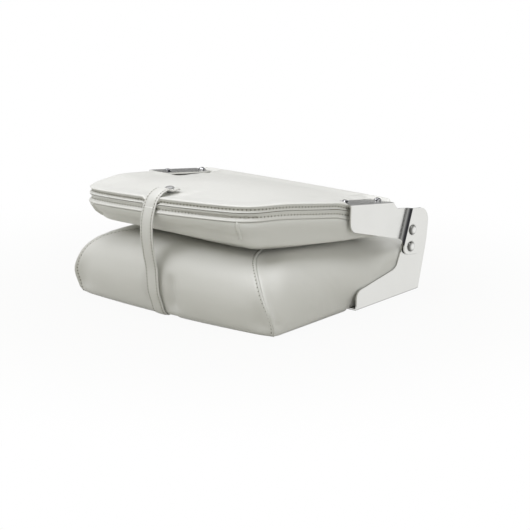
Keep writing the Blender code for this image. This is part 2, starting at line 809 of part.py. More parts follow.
def bend_angle(distance):
    return min(max(distance / BEND_RADIUS, 0.0), math.pi / 2)


def bracket(side):
    bend = BEND_RADIUS * math.pi / 2

    def place(reach, height):
        turn = bend_angle(BEND_RADIUS - height)
        flat = max(BEND_RADIUS - height - bend, 0.0)
        x = BRACKET_OUTER_X - BEND_RADIUS * (1 - math.cos(turn)) - flat
        z = height if height > BEND_RADIUS else BEND_RADIUS * (1 - math.sin(turn))
        return Vector((side * x, PIVOT_Y + reach, z))

    bends = [((0, BEND_RADIUS - bend * k / 3), (0, 1)) for k in range(4)]
    made = bent_sheet(f"bracket_{side_name(side)}", bracket_outline(), bends, place, steel(), side)
    pivot = sideways(side, HINGE + Vector((side * BRACKET_OUTER_X, 0, 0)))
    drill(made, "pivot_hole", RIVET_SHANK_RADIUS, SHEET + OVERRUN, pivot)
    for which, spot in bracket_screw_places():
        if which == side:
            countersink(made, Vector((*spot, 0)))
    return made


def countersink(made, point):
    form = bmesh.new()
    wide = BRACKET_SCREW_HEAD_RADIUS + CLEARANCE
    narrow = BRACKET_SCREW_RADIUS + HOLE_CLEARANCE
    bmesh.ops.create_cone(
        form, cap_ends=True, segments=16, radius1=wide, radius2=narrow, depth=BRACKET_SCREW_HEAD_DEPTH,
        matrix=Matrix.Translation((0, 0, BRACKET_SCREW_HEAD_DEPTH / 2 + CLEARANCE)),
    )
    head = object_from("countersink", mesh_from(form, "countersink"), None, cutters)
    head.location = point
    head.hide_render = True
    head.display_type = "WIRE"
    cut(made, head)
    mouth = Matrix.Translation(point)
    cut(made, cylinder_cutter("countersink_mouth", wide, 4 * CLEARANCE, mouth, 16))
    cut(made, cylinder_cutter("bracket_screw_way", narrow, 2 * (SHEET + OVERRUN), mouth, 16))


def bracket_screws():
    for number, (side, spot) in enumerate(bracket_screw_places()):
        foot = CLEARANCE
        neck = BRACKET_SCREW_HEAD_DEPTH
        shank, tip = BRACKET_SCREW_RADIUS, BRACKET_SCREW_LENGTH
        profile = [
            (0, tip), (shank, tip - shank), (shank, neck), (BRACKET_SCREW_HEAD_RADIUS - CLEARANCE, foot),
            (0, foot),
        ]
        name = f"bracket_screw_{side_name(side)}_{number % BRACKET_SCREW_COUNT + 1}"
        turned(name, profile, zinc(), Matrix.Translation((*spot, 0)), 12)


def rivets():
    low_face, high_face = CLEARANCE, CLEARANCE + WASHER_THICKNESS
    arm_outer = arm_tail_x() - BRACKET_OUTER_X
    for side in (-1, 1):
        place = sideways(side, HINGE + Vector((side * BRACKET_OUTER_X, 0, 0)))
        head = arm_outer + CLEARANCE
        inside = -SHEET - CLEARANCE
        shank = RIVET_SHANK_RADIUS
        inner_head = reversed(dome(RIVET_HEAD_RADIUS, RIVET_INNER_HEAD_HEIGHT, 0, 3))
        low = [(radius, inside - height) for radius, height in inner_head]
        profile = dome(RIVET_HEAD_RADIUS, RIVET_HEAD_HEIGHT, head)
        profile += [(shank, head), (shank, inside)] + low
        turned(f"pivot_rivet_{side_name(side)}", profile, steel(), place)
        bore = shank + CLEARANCE
        washer = [
            (bore, high_face), (WASHER_RADIUS, high_face), (WASHER_RADIUS, low_face), (bore, low_face),
            (bore, high_face),
        ]
        turned(f"hinge_washer_{side_name(side)}", washer, nylon(), place)


# Backrest. Its pieces hang on an empty that sits on the hinge line and leans with the panel.

def back_hinge():
    made = bpy.data.objects.new("back_hinge", None)
    parts.objects.link(made)
    made.matrix_world = back_frame()
    return made


def back_frame():
    return Matrix.Translation(HINGE) @ Matrix.Rotation(-FOLDED_TILT, 4, "X")


def back_half_width(reach):
    corner = BACK_FRONT - BACK_FRONT_BOW
    t = min(max((reach - BACK_TAPER_START) / (corner - BACK_TAPER_START), 0.0), 1.0)
    return BACK_HALF_WIDTH - BACK_TAPER * t**BACK_TAPER_POWER


def back_front_edge(x):
    narrow = BACK_HALF_WIDTH - BACK_TAPER
    return BACK_FRONT - BACK_FRONT_BOW * (x / narrow) ** 2


def curved_corner(start, corner, end, count):
    found = []
    for k in range(count + 1):
        t = k / count
        found.append(tuple(
            a * (1 - t) ** 2 + 2 * c * t * (1 - t) + b * t**2 for a, c, b in zip(start, corner, end)
        ))
    return found


def back_outline():
    """The backrest's outline as (x, reach), anticlockwise seen from its rear face."""
    turn = BACK_REAR_CORNER
    hinge_end = BACK_HALF_WIDTH - turn
    half = [(hinge_end * share, BACK_START) for share in BACK_HINGE_EDGE_SHARES]
    half += curved_corner(
        (hinge_end, BACK_START), (BACK_HALF_WIDTH, BACK_START), (BACK_HALF_WIDTH, BACK_START + turn),
        BACK_CORNER_POINTS,
    )
    corner = BACK_FRONT - BACK_FRONT_BOW
    low, high = BACK_START + turn, corner - BACK_FRONT_CORNER
    for k in range(1, BACK_SIDE_POINTS):
        reach = low + (high - low) * k / BACK_SIDE_POINTS
        half.append((back_half_width(reach), reach))
    narrow = BACK_HALF_WIDTH - BACK_TAPER
    inner = narrow - BACK_FRONT_CORNER
    half += curved_corner(
        (back_half_width(high), high), (narrow, corner), (inner, back_front_edge(inner)),
        BACK_CORNER_POINTS + 1,
    )
    for k in range(1, BACK_FRONT_POINTS):
        x = inner * (1 - k / BACK_FRONT_POINTS)
        half.append((x, back_front_edge(x)))
    tip = [(0, BACK_FRONT)]
    mirrored = [(-x, reach) for x, reach in reversed(half[1:])]
    return half + tip + mirrored


def scaled_outline(share):
    middle = (BACK_START + BACK_FRONT) / 2
    return [(x * share, middle + (reach - middle) * share) for x, reach in back_outline()]


def back_ring(share, height):
    """A ring in the backrest's frame, where forward is -Y. height is a number or a function."""
    found = []
    for x, reach in scaled_outline(share):
        level = height(x, reach) if callable(height) else height
        found.append((x, -reach, level))
    return list(reversed(found))


def pressed(x, reach):
    """Share of the full squeeze that the cover has where the arms' flanges are screwed down."""
    inner, outer = BACK_PRESS_HALF_WIDTH - BACK_PRESS_FADE, BACK_PRESS_HALF_WIDTH
    side = smooth_between(inner, outer, abs(x))
    return side * (1 - smooth_between(BACK_PRESS_REACH, BACK_PRESS_REACH + BACK_PRESS_FADE, reach))


def droop(reach, full=BACK_DROOP):
    return full * smooth_between(BACK_DROOP_START, BACK_FRONT, reach)


def rear_face(x, reach):
    """Height of the backrest's rear face: nearly flat, but pressed down under the arms."""
    across = min(abs(x) / BACK_HALF_WIDTH, 1.0)
    return BACK_TOP + BACK_CROWN * (1 - across**2) - droop(reach) - BACK_PRESS * pressed(x, reach)


def band(height):
    """A height on the boxing, which follows the rim along the front and under the arms."""
    return lambda x, reach: height - droop(reach) - BACK_BAND_PRESS * pressed(x, reach)


def front_face(x, reach):
    middle = (BACK_START + BACK_FRONT) / 2
    across = min(abs(x) / BACK_HALF_WIDTH, 1.0)
    along = min(abs(reach - middle) / (BACK_FRONT - middle), 1.0)
    crown = BACK_BOTTOM_CROWN * (1 - across**2) * (1 - along**4)
    return BACK_BOTTOM - crown - droop(reach, BACK_BOTTOM_DROOP)


def rise(low, share, top):
    """A share of the way from one height to another, either of them a number or a function."""
    def height(x, reach):
        start = low(x, reach) if callable(low) else low
        return start + share * (top(x, reach) - start)
    return height


def lowered(face, depth):
    return lambda x, reach: face(x, reach) - depth


def rear_cover_rings():
    foot = band(BACK_RIM_EDGE)
    rings = [back_ring(scale, rise(foot, share, rear_face)) for scale, share in REAR_COVER_RING_SHARES]
    return rings + [back_ring(scale, rear_face) for scale in REAR_COVER_CROWN_SHARES]


def front_cover_rings():
    top = band(BACK_BAND_EDGE - CLEARANCE)
    rings = [
        back_ring(scale, rise(top, 1 - share, front_face)) for scale, share in FRONT_COVER_RING_SHARES
    ]
    rings += [back_ring(scale, front_face) for scale in FRONT_COVER_CROWN_SHARES]
    return [list(reversed(ring)) for ring in rings]


def backrest(hinge):
    rear = loft("back_rear_cover", rear_cover_rings(), vinyl(), cap_end=True)
    solidify(rear, VINYL)
    front = loft("back_front_cover", front_cover_rings(), vinyl(), cap_end=True)
    solidify(front, VINYL)
    half_slit = ZIP_SLIT_WIDTH / 2
    upper = zip_flap("zip_flap_upper", BACK_SLIT + half_slit, BACK_RIM_EDGE - CLEARANCE)
    lower = zip_flap("zip_flap_lower", BACK_BAND_EDGE, BACK_SLIT - half_slit)
    chain_low = BACK_SLIT - ZIP_CHAIN_WIDTH / 2
    chain_rings = [back_ring(CHAIN_SHARE, band(z)) for z in (chain_low, chain_low + ZIP_CHAIN_WIDTH)]
    chain = loft("zip_chain", chain_rings, nylon())
    solidify(chain, ZIP_CHAIN_THICKNESS)
    board_low = BACK_BOARD_TOP - BOARD_THICKNESS
    board_rings = [back_ring(BOARD_SHARE, z) for z in (board_low, BACK_BOARD_TOP)]
    board = loft("back_board", board_rings, plywood(), cap_start=True, cap_end=True)
    pad = rear_padding()
    block = front_foam()
    for piece in (rear, front, upper, lower, chain, board, pad, block):
        smooth(piece)
        piece.parent = hinge
    for place in arm_screw_places():
        insert_hole(board, back_frame() @ Matrix.Translation((*place, board_low)))
        mouth = back_frame() @ Matrix.Translation((*place, BACK_TOP))
        for piece in (rear, pad):
            drill(piece, "arm_screw_way", SCREW_RADIUS, BACK_TOP - BACK_BOARD_TOP + OVERRUN, mouth, 12)


def zip_flap(name, low, high):
    middle = (low + high) / 2
    levels = ((1, low), (BAND_SWELL_SHARE, middle), (1, high))
    flap = loft(name, [back_ring(scale, band(height)) for scale, height in levels], vinyl())
    solidify(flap, VINYL)
    return flap


def rear_padding():
    low = BACK_BOARD_TOP + CLEARANCE
    inner = lowered(rear_face, VINYL + 2 * CLEARANCE)
    rings = [back_ring(BOARD_SHARE, low), back_ring(BOARD_SHARE, rise(low, PAD_EDGE_SHARE, inner))]
    rings.append(back_ring(REAR_COVER_RING_SHARES[-2][0], lowered(inner, CLEARANCE)))
    rings.append(back_ring(REAR_COVER_RING_SHARES[-1][0], inner))
    rings += [back_ring(scale, inner) for scale in REAR_COVER_CROWN_SHARES]
    return loft("back_rear_padding", rings, foam(), cap_start=True, cap_end=True)


def front_foam():
    top = BACK_BOARD_TOP - BOARD_THICKNESS - CLEARANCE
    bottom = lowered(front_face, -VINYL - 2 * CLEARANCE)
    rings = [back_ring(scale, rise(top, 1 - share, bottom)) for scale, share in FRONT_FOAM_RING_SHARES]
    rings += [back_ring(scale, bottom) for scale in FRONT_COVER_CROWN_SHARES]
    rings = [list(reversed(ring)) for ring in rings]
    return loft("back_front_foam", rings, foam(), cap_start=True, cap_end=True)


def arm_screw_places():
    """Places of (x, y) in the backrest's frame."""
    return [(side * ARM_SCREW_X, -reach) for side in (-1, 1) for reach in ARM_SCREW_REACHES]


def arm_main_x():
    return BRACKET_OUTER_X - SHEET - CLEARANCE


def arm_tail_x():
    return BRACKET_OUTER_X + WASHER_THICKNESS + 3 * CLEARANCE + SHEET


def arm_outline():
    bend = BEND_RADIUS * math.pi / 2
    inner = ARM_FLANGE_HEIGHT - BEND_RADIUS + bend + ARM_FLANGE_WIDTH - BEND_RADIUS
    return [tuple(p) for p in rounded([
        (ARM_REACH, inner, ARM_FLANGE_RADIUS),
        (ARM_FLANGE_START, inner, ARM_FLANGE_RADIUS),
        (ARM_FLANGE_START, ARM_FLANGE_HEIGHT - BEND_RADIUS, ARM_SMALL_RADIUS),
        (ARM_NOTCH_REACH, ARM_TOP_HEIGHT, ARM_SMALL_RADIUS),
        (-ARM_TAIL_REACH, ARM_TOP_HEIGHT, ARM_TAIL_TOP_RADIUS),
        (-ARM_TAIL_REACH, -ARM_HEEL_DEPTH, ARM_TAIL_FOOT_RADIUS),
        (ARM_HEEL_REACH, -ARM_HEEL_DEPTH, ARM_HEEL_RADIUS),
        (ARM_LOWER_REACH, ARM_LOWER_HEIGHT, ARM_SMALL_RADIUS),
        (ARM_FRONT_CORNER_REACH, ARM_FRONT_CORNER_HEIGHT, ARM_FRONT_CORNER_RADIUS),
        (ARM_REACH, ARM_FLANGE_HEIGHT - BEND_RADIUS, 0),
    ])]


def arm(side, hinge):
    bend = BEND_RADIUS * math.pi / 2
    fold = ARM_FLANGE_HEIGHT - BEND_RADIUS
    across = (math.cos(STEP_ANGLE), math.sin(STEP_ANGLE))

    def place(reach, height):
        distance = reach * across[0] + height * across[1]
        out = min(max((STEP_DISTANCE + STEP_RUN - distance) / STEP_RUN, 0.0), 1.0)
        turn = bend_angle(height - fold)
        flat = max(height - fold - bend, 0.0)
        x = arm_main_x() + out * (arm_tail_x() - arm_main_x())
        x -= BEND_RADIUS * (1 - math.cos(turn)) + flat
        z = height if height < fold else fold + BEND_RADIUS * math.sin(turn)
        return Vector((side * x, -reach, z))

    bends = [((0, fold + bend * k / 3), (0, 1)) for k in range(4)]
    for distance in (STEP_DISTANCE, STEP_DISTANCE + STEP_RUN):
        bends.append(((across[0] * distance, across[1] * distance), across))
    made = bent_sheet(f"back_arm_{side_name(side)}", arm_outline(), bends, place, steel(), side)
    made.parent = hinge
    for height in (0, STOP_RADIUS):
        spot = back_frame() @ Vector((side * arm_tail_x(), 0, height))
        drill(made, "rivet_hole", RIVET_SHANK_RADIUS, SHEET + OVERRUN, sideways(side, spot))
    for x, y in arm_screw_places():
        if x * side > 0:
            spot = back_frame() @ Matrix.Translation((x, y, ARM_FLANGE_HEIGHT))
            drill(made, "arm_screw_hole", SCREW_RADIUS, SHEET + OVERRUN, spot, 16)


def stop_rivets(hinge):
    for side in (-1, 1):
        spot = back_frame() @ Vector((side * BRACKET_OUTER_X, 0, STOP_RADIUS))
        head = arm_tail_x() - BRACKET_OUTER_X + CLEARANCE
        shank = RIVET_SHANK_RADIUS
        profile = dome(RIVET_HEAD_RADIUS, RIVET_HEAD_HEIGHT, head)
        profile += [(shank, head), (shank, -SHEET), (0, -SHEET)]
        made = turned(f"stop_rivet_{side_name(side)}", profile, steel(), sideways(side, spot))
        parent_keeping_place(made, hinge)


def parent_keeping_place(made, hinge):
    place = made.matrix_world.copy()
    made.parent = hinge
    made.matrix_parent_inverse = hinge.matrix_world.inverted()
    made.matrix_world = place


def arm_screws(hinge):
    seat = ARM_FLANGE_HEIGHT + CLEARANCE
    tip = BACK_BOARD_TOP - BOARD_THICKNESS + 2 * CLEARANCE
    for number, (x, y) in enumerate(arm_screw_places(), 1):
        profile = dome(ARM_SCREW_HEAD_RADIUS, ARM_SCREW_HEAD_HEIGHT, seat)
        profile += [(SCREW_RADIUS, seat), (SCREW_RADIUS, tip), (0, tip)]
        place = back_frame() @ Matrix.Translation((x, y, 0))
        made = turned(f"arm_screw_{number}", profile, chrome(), place, 16)
        parent_keeping_place(made, hinge)
        mouth = back_frame() @ Matrix.Translation((x, y, seat + ARM_SCREW_HEAD_HEIGHT))
        socket = cylinder_cutter("hex_socket", ARM_SCREW_SOCKET_RADIUS, 2 * ARM_SCREW_SOCKET_DEPTH, mouth, 6)
        cut(made, socket)
        face = Matrix.Translation((x, y, BACK_BOARD_TOP - BOARD_THICKNESS))
        inward = back_frame() @ face @ Matrix.Rotation(math.pi, 4, "X")
        insert = threaded_insert(f"back_insert_{number}", inward, SCREW_RADIUS + HOLE_CLEARANCE)
        parent_keeping_place(insert, hinge)


def zip_slider(hinge):
    """The pull tab of the closed zip, lying along the slit at the hinge end."""
    form = bmesh.new()
    bmesh.ops.create_cube(form, size=1)
    thick = ZIP_CHAIN_THICKNESS
    size = Matrix.Diagonal((ZIP_PULL_LENGTH, thick, ZIP_PULL_WIDTH, 1))
    bmesh.ops.transform(form, matrix=size, verts=form.verts)
    made = object_from("zip_pull", mesh_from(form, "zip_pull"), nylon())
    made.parent = hinge
    swell = (BAND_SWELL_SHARE - 1) * (BACK_FRONT - BACK_START) / 2
    made.location = (0, -BACK_START + swell + CLEARANCE + thick / 2, BACK_SLIT)


# Strap, with its press-stud.

def strap_root():
    return Vector((STRAP_X, SEAT_FRONT_Y - STRAP_SETBACK, STRAP_ROOT_HEIGHT))


def strap_hinge():
    made = bpy.data.objects.new("strap_hinge", None)
    parts.objects.link(made)
    made.matrix_world = Matrix.Translation(strap_root())
    return made


def strap_route():
    """The strap's middle line from its root to its free end, as (y, z)."""
    root = strap_root()
    points = [(root.y - CLEARANCE, root.z)]
    for forward, up in STRAP_FRONT_SHARES:
        points.append((SEAT_FRONT_Y - forward * SEAT_DEPTH, up * SEAT_HEIGHT))
    edge = rear_face(STRAP_X, BACK_FRONT)
    spots = [
        back_frame() @ Vector((0, -BACK_FRONT - forward, edge + up))
        for forward, up in STRAP_WRAP_OFFSETS
    ]
    level = SNAP_STAND_OFF + STRAP_THICKNESS / 2
    spots += [snap_frame() @ Vector((0, y, level)) for y in (-SNAP_CAP_RADIUS, SNAP_CAP_RADIUS)]
    end = rear_face(STRAP_X, STRAP_END_REACH) + 2 * CLEARANCE + STRAP_THICKNESS
    spots.append(back_frame() @ Vector((0, -STRAP_END_REACH, end)))
    points += [(spot.y, spot.z) for spot in spots]
    return spline(points, STRAP_ROUTE_POINTS)


def strip(name, route, x, width, thickness, finish):
    """A flat strip of the given width, its middle line given as (y, z)."""
    sides = []
    for i, (y, z) in enumerate(route):
        before, after = route[max(i - 1, 0)], route[min(i + 1, len(route) - 1)]
        along = Vector((after[0] - before[0], after[1] - before[1])).normalized()
        out = Vector((-along.y, along.x)) * thickness / 2
        sides.append(((y + out.x, z + out.y), (y - out.x, z - out.y)))
    rings = []
    for (y0, z0), (y1, z1) in sides:
        low, high = x - width / 2, x + width / 2
        rings.append([(low, y0, z0), (high, y0, z0), (high, y1, z1), (low, y1, z1)])
    made = loft(name, rings, finish, cap_start=True, cap_end=True)
    form = bmesh.new()
    form.from_mesh(made.data)
    bmesh.ops.recalc_face_normals(form, faces=form.faces)
    form.to_mesh(made.data)
    form.free()
    return made


def snap_frame():
    """On the rear face where the strap is snapped down, Z standing out of the sloping face."""
    run = 2 * SNAP_CAP_RADIUS
    fall = rear_face(STRAP_X, SNAP_REACH - run / 2) - rear_face(STRAP_X, SNAP_REACH + run / 2)
    lean = Matrix.Rotation(math.atan2(fall, run), 4, "X")
    spot = Matrix.Translation((STRAP_X, -SNAP_REACH, rear_face(STRAP_X, SNAP_REACH)))
    return back_frame() @ spot @ lean


def strap(hinge, back):
    free = strip("strap", strap_route(), STRAP_X, STRAP_WIDTH, STRAP_THICKNESS, vinyl())
    parent_keeping_place(free, hinge)
    drill(free, "snap_hole", SNAP_POST_RADIUS, 2 * SNAP_STAND_OFF, snap_frame(), 12)
    root = strap_root()
    flat, up = root.y + STRAP_TAIL_RISE_START, root.y + STRAP_TAIL_RISE_END
    tail_route = [
        (root.y + CLEARANCE, root.z), (flat, root.z), (up, STRAP_TAIL_HEIGHT),
        (root.y + STRAP_TAIL, STRAP_TAIL_HEIGHT),
    ]
    tail = strip("strap_tail", tail_route, STRAP_X, STRAP_WIDTH, STRAP_THICKNESS, vinyl())
    spot = Vector((STRAP_X, root.y + STRAP_TAIL - STRAP_SCREW_INSET, 0))
    drill(tail, "strap_screw_hole", BRACKET_SCREW_RADIUS, SEAT_BOARD_GAP, Matrix.Translation(spot), 12)
    snap(hinge, back)
    return spot


def snap(hinge, back):
    under = SNAP_STAND_OFF - CLEARANCE
    over = SNAP_STAND_OFF + STRAP_THICKNESS + 2 * CLEARANCE
    low = SNAP_STAND_OFF / 2
    foot = under + CLEARANCE
    cap = dome(SNAP_CAP_RADIUS, SNAP_CAP_HEIGHT, over, 5)
    cap += [(SNAP_POST_RADIUS, over), (SNAP_POST_RADIUS, foot), (0, foot)]
    made = turned("snap_cap", cap, chrome(), snap_frame(), 16)
    parent_keeping_place(made, hinge)
    inner, outer = SNAP_STUD_KNOB_RADIUS + 2 * CLEARANCE, SNAP_SOCKET_RADIUS
    socket = [(inner, under), (outer, under), (outer, low), (inner, low), (inner, under)]
    ring = turned("snap_socket", socket, chrome(), snap_frame(), 16)
    parent_keeping_place(ring, hinge)
    top = under - 2 * CLEARANCE
    knob = SNAP_STUD_KNOB_RADIUS
    base = low - CLEARANCE
    stud = [
        (0, top), (knob, top), (knob, base), (SNAP_STUD_RADIUS, base - CLEARANCE),
        (SNAP_STUD_RADIUS, 2 * CLEARANCE), (0, 2 * CLEARANCE),
    ]
    made = turned("snap_stud", stud, chrome(), snap_frame(), 16)
    parent_keeping_place(made, back)


def strap_screw(spot):
    neck = STRAP_TAIL_HEIGHT - STRAP_THICKNESS / 2 - CLEARANCE
    tip = SEAT_BOARD_GAP + BOARD_THICKNESS - 4 * CLEARANCE
    profile = [
        (0, tip), (BRACKET_SCREW_RADIUS, tip - BRACKET_SCREW_RADIUS), (BRACKET_SCREW_RADIUS, neck),
        (STRAP_SCREW_HEAD_RADIUS, neck), (STRAP_SCREW_HEAD_RADIUS, CLEARANCE), (0, CLEARANCE),
    ]
    turned("strap_screw", profile, zinc(), Matrix.Translation(spot), 12)
    depth = SEAT_BOARD_GAP + BOARD_THICKNESS + OVERRUN
    board = bpy.data.objects["seat_base_board"]
    drill(board, "strap_screw_bore", BRACKET_SCREW_RADIUS, depth, Matrix.Translation(spot), 12)


def build():
    clear_scene()
    seat_board()
    seat_covers()
    pedestal_inserts()
    for side in (-1, 1):
        bracket(side)
    bracket_screws()
    rivets()
    back = back_hinge()
    backrest(back)
    for side in (-1, 1):
        arm(side, back)
    stop_rivets(back)
    arm_screws(back)
    zip_slider(back)
    strap_screw(strap(strap_hinge(), back))


build()
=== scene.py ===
"""Looks of a folding boat seat: sewn white vinyl over foam, polished steel, strap and studio.

Metres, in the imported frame: the seat's front faces -Y and the backrest hinges at its rear.
"""

import json
import math

import bmesh
import bpy
import numpy as np
from mathutils import Matrix, Vector
from mathutils.kdtree import KDTree


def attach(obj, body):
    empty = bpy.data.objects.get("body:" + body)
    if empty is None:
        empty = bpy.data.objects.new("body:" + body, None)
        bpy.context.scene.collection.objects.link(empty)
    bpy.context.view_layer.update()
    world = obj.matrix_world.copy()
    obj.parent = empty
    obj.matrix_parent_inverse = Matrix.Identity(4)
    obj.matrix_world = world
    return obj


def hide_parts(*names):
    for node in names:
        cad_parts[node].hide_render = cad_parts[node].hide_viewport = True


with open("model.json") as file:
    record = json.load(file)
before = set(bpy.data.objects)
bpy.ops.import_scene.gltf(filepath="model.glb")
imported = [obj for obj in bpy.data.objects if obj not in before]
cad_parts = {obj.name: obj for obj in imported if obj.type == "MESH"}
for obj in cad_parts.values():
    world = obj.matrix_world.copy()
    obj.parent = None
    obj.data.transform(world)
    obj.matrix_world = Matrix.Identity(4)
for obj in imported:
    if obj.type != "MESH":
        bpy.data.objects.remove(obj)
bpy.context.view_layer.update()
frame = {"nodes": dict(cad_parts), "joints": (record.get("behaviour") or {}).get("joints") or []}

# Places that come from the frame.
HINGE = Vector(frame["joints"][0]["pos_m"])
STRAP_ROOT = Vector(frame["joints"][1]["pos_m"])


def middle_of(node):
    corners = [node.matrix_world @ Vector(corner) for corner in node.bound_box]
    return sum(corners, Vector()) / len(corners)


STOP = middle_of(frame["nodes"]["stop_rivet_right"])


def outer_x(node, behind):
    """How far out to the right a piece reaches in front of the plane y = behind."""
    places = [node.matrix_world @ vertex.co for vertex in node.data.vertices]
    return max(place.x for place in places if place.y < behind)


ARM_STEP_LENGTH = 0.05
ARM_OUTER_X = outer_x(frame["nodes"]["back_arm_right"], HINGE.y - ARM_STEP_LENGTH)

# Camera, where the photograph was taken from.
VIEW_TARGET = Vector((0.1175, -0.0816, 0.08))
VIEW_AZIMUTH = math.radians(39.38)
VIEW_ELEVATION = math.radians(15.08)
VIEW_DISTANCE = 2.646
SENSOR_WIDTH = 36
LENS = 117.34

# Seat cushion.
SEAT_WIDTH = 0.406
SEAT_DEPTH = 0.353
SEAT_HEIGHT = 0.112
SEAT_FRONT_Y = HINGE.y - 0.3272
SEAT_SIDE_SWELL = 0.008
SEAT_SHOULDER = 0.008
SEAT_BASE_INSET = 0.003
SEAT_HEM = 0.014
SEAT_HEM_MITRE = 0.03
SEAT_HEM_LIFT = 0.003
SEAT_CROWN_POWER = 2.2
SEAT_ROWS = 110
SEAT_CENTER_COLUMNS = 61
SEAT_SIDE_COLUMNS = 25
FLANGE_FRONT_Y = HINGE.y - 0.1385
FLANGE_LIFT = 0.0028
LIFT_LEAD = 0.006
VINYL = 0.0012
WELD = 0.00001
TINY = 1e-9
TINY_NORMAL = 1e-12
MIRROR = np.array((-1.0, 1.0, 1.0))
SIDES = (("right", 1), ("left", -1))

# Each station of the seat's skin, from the front bottom edge over the top to the rear bottom
# edge: middle depth and height, seam half-width, depth and height, and side base depth.
SEAT_STATION_SHARES = (
    (-0.034, 0.0, 0.998, 0.0, 0.0, 0.0),
    (-0.06, 0.09, 1.014, -0.011, 0.09, 0.023),
    (-0.082, 0.34, 0.998, -0.036, 0.33, 0.085),
    (-0.088, 0.536, 0.948, -0.038, 0.536, 0.147),
    (-0.076, 0.75, 0.887, -0.02, 0.714, 0.212),
    (-0.034, 0.905, 0.803, 0.02, 0.848, 0.278),
    (0.034, 0.975, 0.716, 0.075, 0.908, 0.346),
    (0.127, 0.995, 0.625, 0.155, 0.93, 0.425),
    (0.283, 0.965, 0.552, 0.283, 0.93, 0.524),
    (0.51, 0.885, 0.52, 0.51, 0.87, 0.637),
    (0.708, 0.81, 0.53, 0.708, 0.805, 0.75),
    (0.868, 0.765, 0.59, 0.866, 0.8, 0.86),
    (0.93, 0.725, 0.65, 0.926, 0.8, 0.905),
    (0.976, 0.64, 0.745, 0.97, 0.73, 0.94),
    (0.998, 0.4, 0.83, 0.984, 0.39, 0.955),
    (0.996, 0.12, 0.94, 0.99, 0.12, 0.974),
    (0.986, 0.032, 0.97, 0.982, 0.036, 0.982),
)

# How a side panel swells between its seam and its base: control points of its curve.
SIDE_SWELL_START_SHARE = 0.3
SIDE_OUT_SHARE = 0.85
SIDE_LEAD_SHARE = 0.1
SIDE_LOW_LEAD_SHARE = 0.15

# Beside the brackets the foam fills out to the steel, and the front bottom corners are blunt.
SIDE_MOST_X = 0.2109
SIDE_FILL = 0.0105
SIDE_FILL_POWER = 5
SIDE_FILL_HEIGHTS = (0.006, 0.03)
SIDE_FILL_LEAD = (-0.19, -0.09)
HAUNCH = 0.013
HAUNCH_HEIGHTS = (0.034, 0.056, 0.074, 0.09)
HAUNCH_DEPTHS = (0.07, 0.12)
HAUNCH_SPAN = (0.16, 0.19)
CORNER_BLUNT = 0.003
CORNER_BLUNT_RUN = 0.016
CORNER_BLUNT_HEIGHT = 0.05

# The vinyl is drawn in beside the seams: how far off it is deepest, how deep, and at what heights.
SEAM_VALLEY_GAP = 0.017
SEAM_VALLEY_FRONT = 0.0052
SEAM_VALLEY_SIDE = 0.0062
SEAM_VALLEY_HEIGHTS = (0.003, 0.018, 0.03, 0.07)
SEAM_VALLEY_FADE = (-0.15, -0.06)

# A crease stands beside the strap, where it pulls the front in.
STRAP_CREASE = 0.0085
STRAP_CREASE_GAP = 0.029
STRAP_CREASE_RUN = 0.008
STRAP_CREASE_FRONT = -0.12
STRAP_CREASE_HEIGHTS = (0.004, 0.022, 0.055, 0.078)

# The seat's seams: distance in from the seam line, and how far the vinyl stands proud there.
SEAM_FOLD_PROFILE = (
    (0.0, -0.0012), (0.0003, 0.0003), (0.0009, 0.0015), (0.0019, 0.0019), (0.003, 0.0013),
    (0.0044, 0.0001), (0.0053, -0.0006), (0.0059, -0.0003), (0.0078, 0.0004), (0.0115, 0.0),
)
SEAM_TUCK_PROFILE = (
    (0.0, -0.0012), (0.0006, -0.0008), (0.0014, -0.0004), (0.0026, -0.0001), (0.0048, 0.0),
)
SEAM_STITCH_COLUMN = 6
SEAM_STITCH_LOWEST = 0.004
SEAM_MOST_SHARE = 0.3
SEAM_FADE_HEIGHTS = (0.002, 0.016)

# Backrest, in its own frame: forward of the hinge line along the panel, and above it.
FOLDED_TILT = math.radians(7.8)
BACK_HALF_WIDTH = 0.2025
BACK_START = 0.036
BACK_FRONT = 0.374
BACK_FRONT_BOW = 0.02
BACK_TAPER = 0.04
BACK_TAPER_START = 0.14
BACK_TAPER_POWER = 1.35
BACK_REAR_CORNER = 0.022
BACK_FRONT_CORNER = 0.034
BACK_TOP = 0.076
BACK_CROWN = 0.0012
BACK_DROOP = 0.0135
BACK_BOTTOM_DROOP = 0.0015
BACK_DROOP_START = 0.258
BACK_PRESS = 0.0076
BAND_PRESSES = ((0.0515, 0.0045), (0.0647, 0.0035), (0.073, 0.007))
BACK_PRESS_HALF_WIDTH = 0.162
BACK_PRESS_FADE = 0.012
BACK_PRESS_ENDS = (0.15, 0.166)
BAND_PRESS_REACH = (0.144, 0.186)
BACK_PRESS_STARTS = (0.036, 0.048)
BACK_RIM_EDGE = 0.073
BACK_BAND_EDGE = 0.0515
BACK_BOTTOM = 0.011
BACK_BOTTOM_CROWN = 0.004
BELLY_SAG = 0.0055
BELLY_REACHES = (0.08, 0.27)
BACK_LOOP_POINTS = 300
BACK_HINGE_POINTS = 30
BACK_SIDE_POINTS = 60
BACK_FRONT_POINTS = 40
BACK_CORNER_POINTS = 24
BACK_BOARD_TOP = 0.06
BOARD_THICKNESS = 0.012
BOARD_SHARE = 0.965
BOARD_DROOP_SHARE = 0.3

# The droop is deeper and starts sooner towards the left, and the left front corner stands out at
# its rim and hangs lower at its bottom.
DROOP_LEAN = 3.6
DROOP_LAG = 0.05
LEFT_SAG = 0.0047
LEFT_SAG_REACHES = (0.06, 0.17, 0.25, 0.36)
LEFT_SAG_SPAN = (0.06, 0.17)
CORNER_OUT = 0.007
CORNER_IN = 0.0015
CORNER_RISE = -0.002
CORNER_SPAN = (0.05, 0.15)
CORNER_REACHES = (0.25, 0.35)

